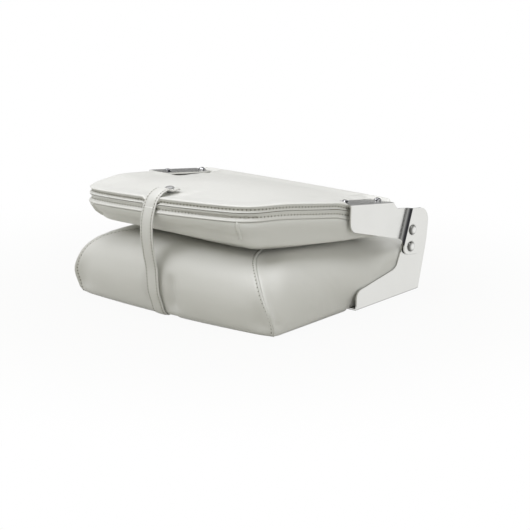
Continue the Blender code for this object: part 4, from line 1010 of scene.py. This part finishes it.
def cut_seam(grid, normals, profile):
    """A panel whose first column lies on the seam line, with the seam's folded profile added there."""
    run = np.cumsum(np.linalg.norm(np.diff(grid, axis=1), axis=2), axis=1)
    run = np.concatenate([np.zeros((len(grid), 1)), run], axis=1)
    full = profile[-1][0]
    room = np.minimum(run[:, -1] * SEAM_MOST_SHARE / full, 1.0)
    fade = smooth_between(*SEAM_FADE_HEIGHTS, grid[:, 0, 2]) * room
    columns = []
    for distance, height in profile:
        spot = at_distance(run, grid, distance * room)
        normal = unit(at_distance(run, normals, distance * room))
        columns.append(spot + normal * (height * fade)[:, None])
    for share in np.linspace(0, 1, grid.shape[1] - 2)[1:]:
        distance = full * room + (run[:, -1] - full * room) * share
        columns.append(at_distance(run, grid, distance))
    return np.stack(columns, 1)


def hem(row, ends):
    """The strip of cover folded in under the board, mitred towards the corners."""
    heart = np.array((0.0, SEAT_FRONT_Y + SEAT_DEPTH / 2))
    inward = heart - row[:, :2]
    if ends:
        inward[:, 1] = 0
        room = SEAT_DEPTH / 2 - np.abs(row[:, 1] - heart[1])
    else:
        inward[:, 0] = 0
        room = SEAT_WIDTH / 2 - SEAT_BASE_INSET - np.abs(row[:, 0])
    width = SEAT_HEM * smooth_between(0, SEAT_HEM_MITRE, room)
    moved = row.copy()
    moved[:, :2] += unit(inward) * width[:, None]
    moved[:, 2] = np.maximum(SEAT_HEM_LIFT, row[:, 2])
    return moved


def near_lines(points, lines):
    """1 within the hold distance of any of the lines' points, falling to 0 further off."""
    tree = tree_of(np.concatenate(lines))
    gaps = np.array([tree.find(point)[2] for point in points])
    return 1 - smooth_between(*PUFF_HOLD_RUNS, gaps)


def under_strap(x):
    """1 under the strap, falling to 0 beside it."""
    return 1 - smooth_between(STRAP_WIDTH / 2, STRAP_WIDTH, np.abs(x - STRAP_X))


def seat_hold(skin, seam):
    """What keeps the seat's cover in place: seams, board, brackets and strap."""
    other_seam = skin.shape[1] - 1 - seam
    lines = [skin[:, seam], skin[:, other_seam], skin[:, 0], skin[:, -1], skin[0], skin[-1]]

    def held(points):
        x, y, z = points.T
        grip = near_lines(points, lines)
        steel = smooth_between(*SEAT_STEEL_X, np.abs(x)) * smooth_between(*SEAT_STEEL_Y, y)
        low = 1 - smooth_between(*SEAT_BOARD_Z, z)
        strapped = under_strap(x) * smooth_between(*SEAT_STRAP_FORWARD, -y) * SEAT_STRAP_SHARE
        return np.clip(np.maximum.reduce([grip, steel, strapped, low]), 0, 1)

    return held


def lifted(grid):
    """The cover kept above the floor and the bracket flanges."""
    grid[:, :, 2] = np.maximum(grid[:, :, 2], lowest(grid[:, :, 1]))
    return grid


def seat_cushion():
    skin = seat_skin()
    seam = skin.shape[1] - SEAT_SIDE_COLUMNS
    skin = lifted(filled("seat_filling", skin, False, seat_hold(skin, seam))(skin))
    skin[:, :, 0] = np.clip(skin[:, :, 0], -SIDE_MOST_X, SIDE_MOST_X)
    normals = outward(skin)
    heart = (SEAT_SIDE_COLUMNS - 1 + seam) // 2
    half = slice(heart, seam + 1)
    right = cut_seam(skin[:, half][:, ::-1], normals[:, half][:, ::-1], SEAM_FOLD_PROFILE)[:, ::-1]
    center = lifted(np.concatenate([right[:, :0:-1] * MIRROR, right], axis=1))
    side = lifted(cut_seam(skin[:, seam:], normals[:, seam:], SEAM_TUCK_PROFILE))
    pieces = []
    middle = np.concatenate([hem(center[0], False)[None], center, hem(center[-1], False)[None]])
    panel = vinyl_panel("seat_center_panel", middle)
    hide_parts("seat_center_cover", "seat_foam")
    pieces.append(panel)
    folded = np.concatenate([side, hem(side[:, -1], True)[:, None]], axis=1)
    for name, sign in SIDES:
        grid = folded if sign > 0 else folded * MIRROR
        panel = vinyl_panel(f"seat_side_panel_{name}", grid, flip=sign < 0)
        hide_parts(f"seat_side_cover_{name}")
        pieces.append(panel)
    for panel in pieces:
        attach(panel, "seat")
    line = right[:, ::-1][:, SEAM_STITCH_COLUMN]
    across = outward(center)[:, center.shape[1] // 2:][:, ::-1][:, SEAM_STITCH_COLUMN]
    live = line[:, 2] > SEAM_STITCH_LOWEST
    for name, sign in SIDES:
        flip = np.array((sign, 1, 1))
        stitches(f"seat_stitches_{name}", line[live] * flip, across[live] * flip, "seat")


# Thread.

def stitches(name, line, normals, body, place=None, pitch=STITCH_PITCH, hole=HOLE_RADIUS):
    """A row of lockstitches along a line of points: short plump strands, with dark discs of painted
    shade for the needle holes between them.
    """
    run = distances(line)
    count, half = int(run[-1] // pitch), STITCH_LENGTH / 2
    spots = (np.arange(count) + 0.5) * run[-1] / count
    start, end = along(run, spots - half, line), along(run, spots + half, line)
    up = unit(along(run, spots, normals))
    ahead = unit(end - start)
    side = unit(np.cross(up, ahead))
    rings = []
    for share, lift, girth in STITCH_PROFILE:
        middle = start + (end - start) * share + up * THREAD_RADIUS * lift
        ring = []
        for k in range(THREAD_SIDES):
            turn = 2 * math.pi * k / THREAD_SIDES
            offset = side * math.cos(turn) * THREAD_WIDTH_SHARE
            offset = offset + up * math.sin(turn) * THREAD_HEIGHT_SHARE
            ring.append(middle + offset * THREAD_RADIUS * girth)
        rings.append(np.stack(ring, 1))
    points = np.stack(rings, 1)
    index = np.arange(points[..., 0].size).reshape(points.shape[:3])
    after = np.roll(index, -1, axis=2)
    quads = np.stack([index[:, :-1], after[:, :-1], after[:, 1:], index[:, 1:]], -1).reshape(-1, 4)
    caps = [list(ring) for ring in index[:, 0][:, ::-1]] + [list(ring) for ring in index[:, -1]]
    # The holes are dark discs laid just above the surface, painted shade for the needle holes.
    spots = np.linspace(0, run[-1], count + 1)
    middle, up = along(run, spots, line), unit(along(run, spots, normals))
    ahead = unit(along(run, spots + half, line) - along(run, spots - half, line))
    side = unit(np.cross(up, ahead))
    turn = np.linspace(0, 2 * math.pi, HOLE_SIDES, endpoint=False)[None, :, None]
    ring = ahead[:, None] * np.cos(turn) * HOLE_LENGTH_SHARE + side[:, None] * np.sin(turn)
    holes = middle[:, None] + ring * hole + up[:, None] * HOLE_LIFT
    first = points[..., 0].size
    punched = (first + np.arange(holes[..., 0].size)).reshape(holes.shape[:2])[:, ::-1].tolist()
    places = points.reshape(-1, 3).tolist() + holes.reshape(-1, 3).tolist()
    mesh = bpy.data.meshes.new(name)
    mesh.from_pydata(places, [], quads.tolist() + caps + punched)
    mesh.shade_smooth()
    made = add_object(name, mesh, "sewing_thread")
    mesh.materials.append(finish("needle_hole_shade"))
    for face in mesh.polygons[len(quads) + len(caps):]:
        face.material_index = 1
    if place is not None:
        mesh.transform(place)
    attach(made, body)


# Backrest.

def back_frame():
    return Matrix.Translation(HINGE) @ Matrix.Rotation(-FOLDED_TILT, 4, "X")


def back_half_width(reach):
    corner = BACK_FRONT - BACK_FRONT_BOW
    t = np.clip((reach - BACK_TAPER_START) / (corner - BACK_TAPER_START), 0.0, 1.0)
    return BACK_HALF_WIDTH - BACK_TAPER * t**BACK_TAPER_POWER


def back_front_edge(x):
    narrow = BACK_HALF_WIDTH - BACK_TAPER
    return BACK_FRONT - BACK_FRONT_BOW * (x / narrow) ** 2


def curved_corner(start, corner, end):
    t = np.linspace(0, 1, BACK_CORNER_POINTS)[:, None]
    start, corner, end = (np.array(p, float) for p in (start, corner, end))
    return start * (1 - t) ** 2 + 2 * corner * t * (1 - t) + end * t**2


def back_outline():
    """The backrest's outline as (x, reach), evenly spaced, anticlockwise seen from its rear face."""
    turn = BACK_REAR_CORNER
    hinge_end = BACK_HALF_WIDTH - turn
    corner = BACK_FRONT - BACK_FRONT_BOW
    low, high = BACK_START + turn, corner - BACK_FRONT_CORNER
    reach = np.linspace(low, high, BACK_SIDE_POINTS)[1:-1]
    narrow = BACK_HALF_WIDTH - BACK_TAPER
    inner = narrow - BACK_FRONT_CORNER
    front = np.linspace(inner, 0, BACK_FRONT_POINTS)[1:]
    rear = np.linspace(0, hinge_end, BACK_HINGE_POINTS)[:-1]
    half = np.concatenate([
        np.stack([rear, np.full(len(rear), BACK_START)], 1),
        curved_corner((hinge_end, BACK_START), (BACK_HALF_WIDTH, BACK_START), (BACK_HALF_WIDTH, low)),
        np.stack([back_half_width(reach), reach], 1),
        curved_corner((back_half_width(high), high), (narrow, corner), (inner, back_front_edge(inner))),
        np.stack([front, back_front_edge(front)], 1),
    ])
    whole = np.concatenate([half, half[-2:0:-1] * (-1, 1)])
    return evenly(whole, BACK_LOOP_POINTS, closed=True)


def out_of_outline(outline):
    """Unit directions out of a closed outline that runs anticlockwise in (x, reach)."""
    ahead = np.roll(outline, -1, axis=0) - np.roll(outline, 1, axis=0)
    return unit(np.stack([ahead[:, 1], -ahead[:, 0]], 1))


def pressed(x, reach, ends=BACK_PRESS_ENDS):
    """Share of the full squeeze that the cover has where the arms' flanges are screwed down."""
    inner, outer = BACK_PRESS_HALF_WIDTH - BACK_PRESS_FADE, BACK_PRESS_HALF_WIDTH
    side = smooth_between(inner, outer, np.abs(x))
    return window(reach, (*BACK_PRESS_STARTS, *ends), side)


def droop(x, reach, full=BACK_DROOP):
    start = BACK_DROOP_START + DROOP_LAG * x
    sag = window(reach, LEFT_SAG_REACHES, LEFT_SAG * smooth_between(*LEFT_SAG_SPAN, -x))
    sag = sag * (full / BACK_DROOP)
    return full * (1 - DROOP_LEAN * x) * smooth_between(start, BACK_FRONT, reach) + sag


def dented(x, reach):
    """How far the taut strap pulls the rear face down where it bends over the front rim."""
    across = 1 - smooth_between(*STRAP_DENT_SPAN, np.abs(x - STRAP_X))
    return STRAP_DENT * across * smooth_between(*STRAP_DENT_REACHES, reach)


def rear_face(x, reach):
    across = np.minimum(np.abs(x) / BACK_HALF_WIDTH, 1.0)
    level = BACK_TOP + BACK_CROWN * (1 - across**2) - droop(x, reach)
    return level - BACK_PRESS * pressed(x, reach) - dented(x, reach)


def on_band(height, x, reach):
    press = np.interp(height, *np.transpose(BAND_PRESSES))
    dent = STRAP_RIM_SHARE * np.interp(height, STRAP_DENT_HEIGHTS, (0.0, 1.0)) * dented(x, reach)
    return height - droop(x, reach) - press * pressed(x, reach, BAND_PRESS_REACH) - dent


def front_face(x, reach):
    middle = (BACK_START + BACK_FRONT) / 2
    across = np.minimum(np.abs(x) / BACK_HALF_WIDTH, 1.0)
    along = np.minimum(np.abs(reach - middle) / (BACK_FRONT - middle), 1.0)
    crown = BACK_BOTTOM_CROWN * (1 - across**2) * (1 - along**4)
    belly = BELLY_SAG * smooth_between(*BELLY_REACHES, reach)
    return BACK_BOTTOM - crown - belly - droop(0 * x, reach, BACK_BOTTOM_DROOP)


def cornered(x, reach, height):
    """Points in the backrest's frame, where forward is -Y, with its leaning front and corner."""
    seam, bottom = on_band(BACK_BAND_EDGE, x, reach), front_face(x, reach)
    low = np.clip((seam - height) / (seam - bottom), 0, 1)
    corner = smooth_between(*CORNER_SPAN, -x) * smooth_between(*CORNER_REACHES, reach)
    out = CORNER_IN * low**2 - CORNER_OUT * (1 - low)
    upright = 1 - smooth_between(*FRONT_LEAN_SPAN, x)
    lean = FRONT_LEAN * low * smooth_between(*FRONT_LEAN_REACHES, reach) * upright
    return np.stack([x + out * corner, lean - reach, height + CORNER_RISE * low**2 * corner], -1)


def fold_depth(outline):
    """How deep the band's folds are: full along the front, where the cover is slack, less beside."""
    return FOLD_SIDE_SHARE + (1 - FOLD_SIDE_SHARE) * smooth_between(*FOLD_FRONT_REACHES, outline[:, 1])


def back_rings(scales_or_offsets, heights, by_offset, folded=False):
    """Closed rings round the backrest. heights are functions of x and reach."""
    outline = back_outline()
    middle = np.array((0.0, (BACK_START + BACK_FRONT) / 2))
    out = out_of_outline(outline)
    if folded:
        out = out * fold_depth(outline)[:, None]
    rings = []
    for amount, height in zip(scales_or_offsets, heights):
        flat = outline + out * amount if by_offset else middle + (outline - middle) * amount
        x, reach = flat.T
        rings.append(cornered(x, reach, height(x, reach)))
    return np.stack(rings)[:, ::-1]


def band_rings(profile, rows):
    places = spline(profile, rows)
    heights = [lambda x, reach, z=z: on_band(z, x, reach) for z in places[:, 1]]
    return back_rings(places[:, 0], heights, True, True)


def panel_rings(profile, rows, by_offset, low, high, shares, face):
    """A panel's closed rings: up its edge from one level to another, then in over its face."""
    places = spline(profile, rows)

    def rise(share):
        def height(x, reach):
            foot = low(x, reach)
            return foot + share * (high(x, reach) - foot)
        return height

    edge = back_rings(places[:, 0], [rise(share) for share in places[:, 1]], by_offset)
    inner = back_rings(shares, [face] * len(shares), False)
    return np.concatenate([edge, inner])


def rim_foot(x, reach):
    return on_band(BACK_RIM_EDGE, x, reach)


def boxing_top(x, reach):
    return on_band(BACK_BAND_EDGE, x, reach)


def back_board():
    """The panel's plywood, which follows its droop and twist under the cover."""
    def level(height):
        return lambda x, reach: height - droop(x, reach) * BOARD_DROOP_SHARE
    low, high = BACK_BOARD_TOP - BOARD_THICKNESS, BACK_BOARD_TOP
    scales = [0.0, 0.5, BOARD_SHARE, BOARD_SHARE, 0.5, 0.0]
    heights = [level(low)] * 3 + [level(high)] * 3
    made = surface("back_board_ply", back_rings(scales, heights, False), "birch_plywood", loop=True)
    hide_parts("back_board")
    return made


def boxing_seams(rings, frame_matrix):
    """The raised joins of the boxing at its front corners, each with stitches beside it."""
    rows = int(BOXING_ROWS * BOXING_SEAM_ROWS_SHARE)
    places = rings[1:rows]
    for side, sign in SIDES:
        gap = np.abs(rings[0][:, 0] - sign * BOXING_SEAM_X)
        column = int(np.argmin(np.where(-rings[0][:, 1] < BACK_DROOP_START, np.inf, gap)))
        line = places[:, column]
        ahead = unit(places[:, (column + 1) % BACK_LOOP_POINTS] - places[:, column - 1])
        out = unit(np.cross(ahead, np.gradient(line, axis=0)))
        out = out * np.sign(out @ (0, -1, 0))[:, None]
        strips = [line + ahead * across + out * rise for across, rise in BOXING_SEAM_PROFILE]
        ridge = surface(f"back_boxing_seam_{side}", np.stack(strips, 1), "marine_vinyl")
        ridge.data.transform(frame_matrix)
        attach(ridge, "backrest")
        step = 1 if -sign * ahead[0, 0] > 0 else -1
        beside = line + (places[:, (column + step) % BACK_LOOP_POINTS] - line) * BOXING_STITCH_SHARE
        name = f"back_boxing_stitches_{side}"
        stitches(name, beside, out, "backrest", frame_matrix, hole=BOXING_HOLE_RADIUS)


def back_hold(seams):
    """What keeps the backrest's cover in place: seams, arms and strap."""
    def held(points):
        x, reach, height = points[:, 0], -points[:, 1], points[:, 2]
        strapped = under_strap(x) * smooth_between(*BACK_STRAP_REACHES, reach)
        arms = smooth_between(*BACK_ARM_X, np.abs(x)) * (1 - smooth_between(*BACK_ARM_REACHES, reach))
        top = smooth_between(*BACK_HELD_HEIGHTS, height + droop(x, reach))
        grip = near_lines(points, seams)
        return np.clip(np.maximum.reduce([grip, strapped * top, arms * top]), 0, 1)

    return held


def backrest():
    frame_matrix = back_frame()
    board = back_board()
    rear_rings = panel_rings(
        RIM_PROFILE, RIM_ROWS, True, rim_foot, rear_face, REAR_PANEL_SHARES, rear_face,
    )
    under_rings = panel_rings(
        BOXING_SHARES, BOXING_ROWS, False, front_face, boxing_top, UNDER_PANEL_SHARES, front_face,
    )
    seams = [rear_rings[0], rear_rings[RIM_SEAM_ROW], under_rings[0]]
    whole = np.concatenate([rear_rings[::-1], under_rings])
    follow = filled("back_filling", whole, True, back_hold(seams))
    rear_rings, under_rings = follow(rear_rings), follow(under_rings)
    rear = vinyl_panel("back_rear_panel", rear_rings, loop=True)
    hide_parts("back_rear_cover", "back_rear_padding")
    under = vinyl_panel("back_under_cushion", under_rings, loop=True, flip=True)
    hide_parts("back_front_cover", "back_front_foam")
    flaps = []
    for name, profile in (("upper", UPPER_FLAP_PROFILE), ("lower", LOWER_FLAP_PROFILE)):
        rings = band_rings(profile, FLAP_ROWS)[::-1]
        flap = vinyl_panel(f"back_zip_flap_{name}", rings, loop=True)
        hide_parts(f"zip_flap_{name}")
        flaps.append(flap)
    for piece in (rear, under, *flaps, board):
        piece.data.transform(frame_matrix)
        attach(piece, "backrest")
    boxing_seams(under_rings, frame_matrix)
    for name, (depth, height) in STITCH_ROWS.items():
        line = back_rings([depth], [lambda x, reach, z=height: on_band(z, x, reach)], True, True)[0]
        line = np.concatenate([line, line[:1]])
        ahead = np.gradient(line, axis=0)
        out = unit(np.cross(ahead, (0, 0, 1)))
        heart = np.array((0, -(BACK_START + BACK_FRONT) / 2, 0))
        out = out * np.sign(np.sum(out * (line - heart), axis=1))[:, None]
        stitches(f"back_stitches_{name}", line, out, "backrest", frame_matrix)


# Strap.

def snap_frame():
    """On the rear face where the strap is snapped down, Z standing out of the sloping face."""
    run = 2 * SNAP_CAP_RADIUS
    fall = rear_face(STRAP_X, SNAP_REACH - run / 2) - rear_face(STRAP_X, SNAP_REACH + run / 2)
    lean = Matrix.Rotation(math.atan2(fall, run), 4, "X")
    spot = Matrix.Translation((STRAP_X, -SNAP_REACH, rear_face(STRAP_X, SNAP_REACH)))
    return back_frame() @ spot @ lean


def strap_route():
    """The strap's middle line from its root to its free end, as (y, z)."""
    points = [(STRAP_ROOT.y, STRAP_ROOT.z)]
    points += [
        (SEAT_FRONT_Y - forward * SEAT_DEPTH, up * SEAT_HEIGHT) for forward, up in STRAP_FRONT_SHARES
    ]
    edge = rear_face(STRAP_X, BACK_FRONT) + STRAP_DENT
    spots = [
        back_frame() @ Vector((0, -BACK_FRONT - forward, edge + up))
        for forward, up in STRAP_WRAP_OFFSETS
    ]
    level = SNAP_STAND_OFF + STRAP_THICKNESS / 2
    spots += [snap_frame() @ Vector((0, y, level)) for y in (-SNAP_CAP_RADIUS, SNAP_CAP_RADIUS)]
    end = rear_face(STRAP_X, STRAP_END_REACH) + STRAP_END_LIFT + STRAP_THICKNESS
    spots.append(back_frame() @ Vector((0, -STRAP_END_REACH, end)))
    points += [(spot.y, spot.z) for spot in spots]
    return evenly(spline(points, STRAP_ROUTE_POINTS), STRAP_ROWS)


def strap_section(half_width):
    """Half of the strap's section as (across, out): rounded edge, stitch dip and a slight crown."""
    edge = STRAP_THICKNESS / 2
    corner = [
        (half_width - edge + edge * math.cos(t), edge * math.sin(t))
        for t in np.linspace(-math.pi / 2, math.pi / 2, STRAP_EDGE_POINTS)
    ]
    corner[STRAP_EDGE_POINTS // 2] = (half_width - STRAP_PLY_GROOVE, 0.0)
    dip, shoulder = half_width - STRAP_EDGE_STITCH, edge - STRAP_DIP_SHOULDER
    top = [(dip + STRAP_DIP_OUTER, shoulder), (dip, edge - STRAP_STITCH_DIP)]
    top.append((dip - STRAP_DIP_INNER, shoulder))
    top += [(half_width * share, edge + STRAP_PUFF * (1 - share**2)) for share in STRAP_PUFF_SHARES]
    return corner + top


def band_of_strap(name, route, taper):
    """A strap along a route of (y, z), its two stitch lines and normals. taper rounds its far end."""
    route = np.asarray(route)
    ahead = unit(np.gradient(route, axis=0))
    out = np.stack([-ahead[:, 1], ahead[:, 0]], 1)
    run = distances(route)
    rings, stitch_lines = [], ([], [])
    for (y, z), (oy, oz), left in zip(route, out, run[-1] - run):
        half = STRAP_WIDTH / 2
        tip = half * STRAP_TIP_SHARE
        if taper and left < tip:
            rounding = math.sqrt(max(1 - (1 - left / tip) ** 2, STRAP_TIP_BLUNT))
            half *= rounding * STRAP_TIP_ADDED + STRAP_TIP_LEAST
        section = strap_section(half)
        section = section + [(-a, b) for a, b in reversed(section)]
        rings.append([(STRAP_X + a, y + oy * b, z + oz * b) for a, b in section])
        for line, sign in zip(stitch_lines, (1, -1)):
            a = sign * (half - STRAP_EDGE_STITCH)
            b = STRAP_THICKNESS / 2 - STRAP_STITCH_DIP
            line.append((STRAP_X + a, y + oy * b, z + oz * b))
    made = surface(name, np.array(rings), "strap_vinyl", loop=True, flip=True)
    reworked(made.data, close_holes, face_outwards).shade_smooth()
    normals = np.stack([np.zeros(len(out)), out[:, 0], out[:, 1]], 1)
    return made, stitch_lines, normals


def strap():
    band, lines, normals = band_of_strap("strap_band", strap_route(), True)
    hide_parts("strap")
    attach(band, "strap")
    for name, line in zip(("right", "left"), lines):
        line = np.array(line)
        live = np.flatnonzero(line[:, 2] > STRAP_STITCH_LOWEST)[:-STRAP_STITCH_SPARED]
        stitches(f"strap_stitches_{name}", line[live], normals[live], "strap", pitch=STRAP_STITCH_PITCH)
    start, low_end, high_end = (STRAP_ROOT.y + r for r in (STRAP_TAIL_GAP, *STRAP_TAIL_RISE))
    tail_route = [
        (start, STRAP_ROOT.z), (low_end, STRAP_ROOT.z), (high_end, STRAP_TAIL_HEIGHT),
        (STRAP_ROOT.y + STRAP_TAIL, STRAP_TAIL_HEIGHT),
    ]
    tail = band_of_strap("strap_tail_band", evenly(tail_route, STRAP_TAIL_ROWS), False)[0]
    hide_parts("strap_tail")
    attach(tail, "seat")


# Hardware.

HARDWARE_FINISHES = {
    "bracket_left": "polished_steel", "bracket_right": "polished_steel",
    "back_arm": "arm_steel", "pivot_rivet": "rivet_steel", "stop_rivet": "rivet_steel",
    "arm_screw": "screw_chrome", "bracket_screw": "zinc_plate", "strap_screw": "zinc_plate",
    "pedestal_insert": "zinc_plate", "back_insert": "zinc_plate", "hinge_washer": "zip_nylon",
    "seat_base_board": "birch_plywood", "back_board": "birch_plywood", "snap": "dull_nickel",
    "zip": "zip_nylon",
}


def hardware():
    for name, node in frame["nodes"].items():
        for start, material in HARDWARE_FINISHES.items():
            if name.startswith(start):
                node.data.materials.clear()
                node.data.materials.append(finish(material))
        if name.startswith(("back_arm", "bracket_left", "bracket_right")):
            # The bevelled edges take edge_steel, whose darker colour is painted shade outlining the
            # plates.
            node.data.materials.append(finish("edge_steel"))
            edge = node.modifiers.new("broken_edge", "BEVEL")
            edge.width = EDGE_BREAK
            edge.segments = 2
            edge.limit_method = "ANGLE"
            edge.angle_limit = EDGE_ANGLE
            edge.material = 1


# Studio.

def area_light(name, place, size, watts, in_steel):
    lamp = bpy.data.lights.new(name, "AREA")
    lamp.shape = "RECTANGLE"
    lamp.size, lamp.size_y = size
    lamp.energy = watts
    lamp.color = LAMP_COLOR
    made = linked(name, lamp)
    made.location = place
    made.rotation_euler = (VIEW_TARGET - Vector(place)).to_track_quat("-Z", "Y").to_euler()
    made.visible_glossy = in_steel


def seen_as_white(recipe):
    """1 for rays from the camera or off metal and glass, which see plain white."""
    rays = {ray.socket.name: ray for ray in recipe.node("ShaderNodeLightPath")}
    return (rays["Is Camera Ray"] + rays["Is Glossy Ray"] + rays["Is Transmission Ray"]).clamped()


def studio_piece(name, color, roughness, build):
    """A plain piece of the studio and its material's recipe. build fills its form."""
    mesh = reworked(bpy.data.meshes.new(name), build)
    material = bpy.data.materials.new(name)
    mesh.materials.append(material)
    recipe = Recipe(material)
    recipe.set(Base_Color=color, Roughness=roughness)
    return linked(name, mesh), recipe


def dark_card():
    """A grey card behind the seat, seen only in the polished flanges and screw heads."""
    def build(form):
        bmesh.ops.create_grid(form, x_segments=1, y_segments=1, size=1)

    card, _ = studio_piece("dark_card", (0.33, 0.33, 0.35), 1.0, build)
    card.scale = CARD_SCALE
    card.location = CARD_DIRECTION * CARD_DISTANCE + Vector((0, 0, CARD_HEIGHT))
    card.rotation_euler = (-CARD_DIRECTION).to_track_quat("Z", "Y").to_euler()
    card.visible_camera = card.visible_diffuse = card.visible_shadow = False


def studio_floor():
    """A round floor, white to the camera but for a faint grey near the seat, and grey to the lamps."""
    def build(form):
        bmesh.ops.create_circle(form, cap_ends=True, segments=96, radius=FLOOR_RADIUS)

    floor, recipe = studio_piece("studio_floor", (0.46, 0.455, 0.41), 0.9, build)
    floor.location.z = -FLOOR_DROP
    glow = recipe.node("ShaderNodeEmission", None, {"Strength": 1.0})[0]
    far = recipe.eased(recipe.length(recipe.place()), *FLOOR_FADE, FLOOR_NEAR_WHITE)
    lit = Signal(recipe, recipe.shader.outputs[0])
    blend = recipe.node("ShaderNodeMixShader", None, {0: far * seen_as_white(recipe), 1: lit, 2: glow})
    recipe.feed(recipe.tree.nodes["Material Output"].inputs["Surface"], blend[0])


def studio():
    scene = bpy.context.scene
    world = bpy.data.worlds.new("studio_air")
    scene.world = world
    recipe = Recipe(world)
    back = recipe.tree.nodes["Background"]
    seen = seen_as_white(recipe)
    recipe.feed(back.inputs["Strength"], AMBIENT + (1 - AMBIENT) * seen)
    recipe.feed(back.inputs["Color"], recipe.mix(seen, AMBIENT_COLOR, (1.0, 1.0, 1.0)))
    studio_floor()
    for lamp in LAMPS:
        area_light(*lamp)
    dark_card()
    scene.view_settings.view_transform = "Standard"


def camera():
    cosine = math.cos(VIEW_ELEVATION)
    back = Vector((
        math.sin(VIEW_AZIMUTH) * cosine, -math.cos(VIEW_AZIMUTH) * cosine, math.sin(VIEW_ELEVATION),
    ))
    data = bpy.data.cameras.new("camera")
    data.sensor_width = SENSOR_WIDTH
    data.lens = LENS
    made = linked("camera", data)
    made.location = VIEW_TARGET + back * VIEW_DISTANCE
    made.rotation_euler = (-back).to_track_quat("-Z", "Y").to_euler()
    bpy.context.scene.camera = made


camera()
seat_cushion()
backrest()
strap()
hardware()
studio()
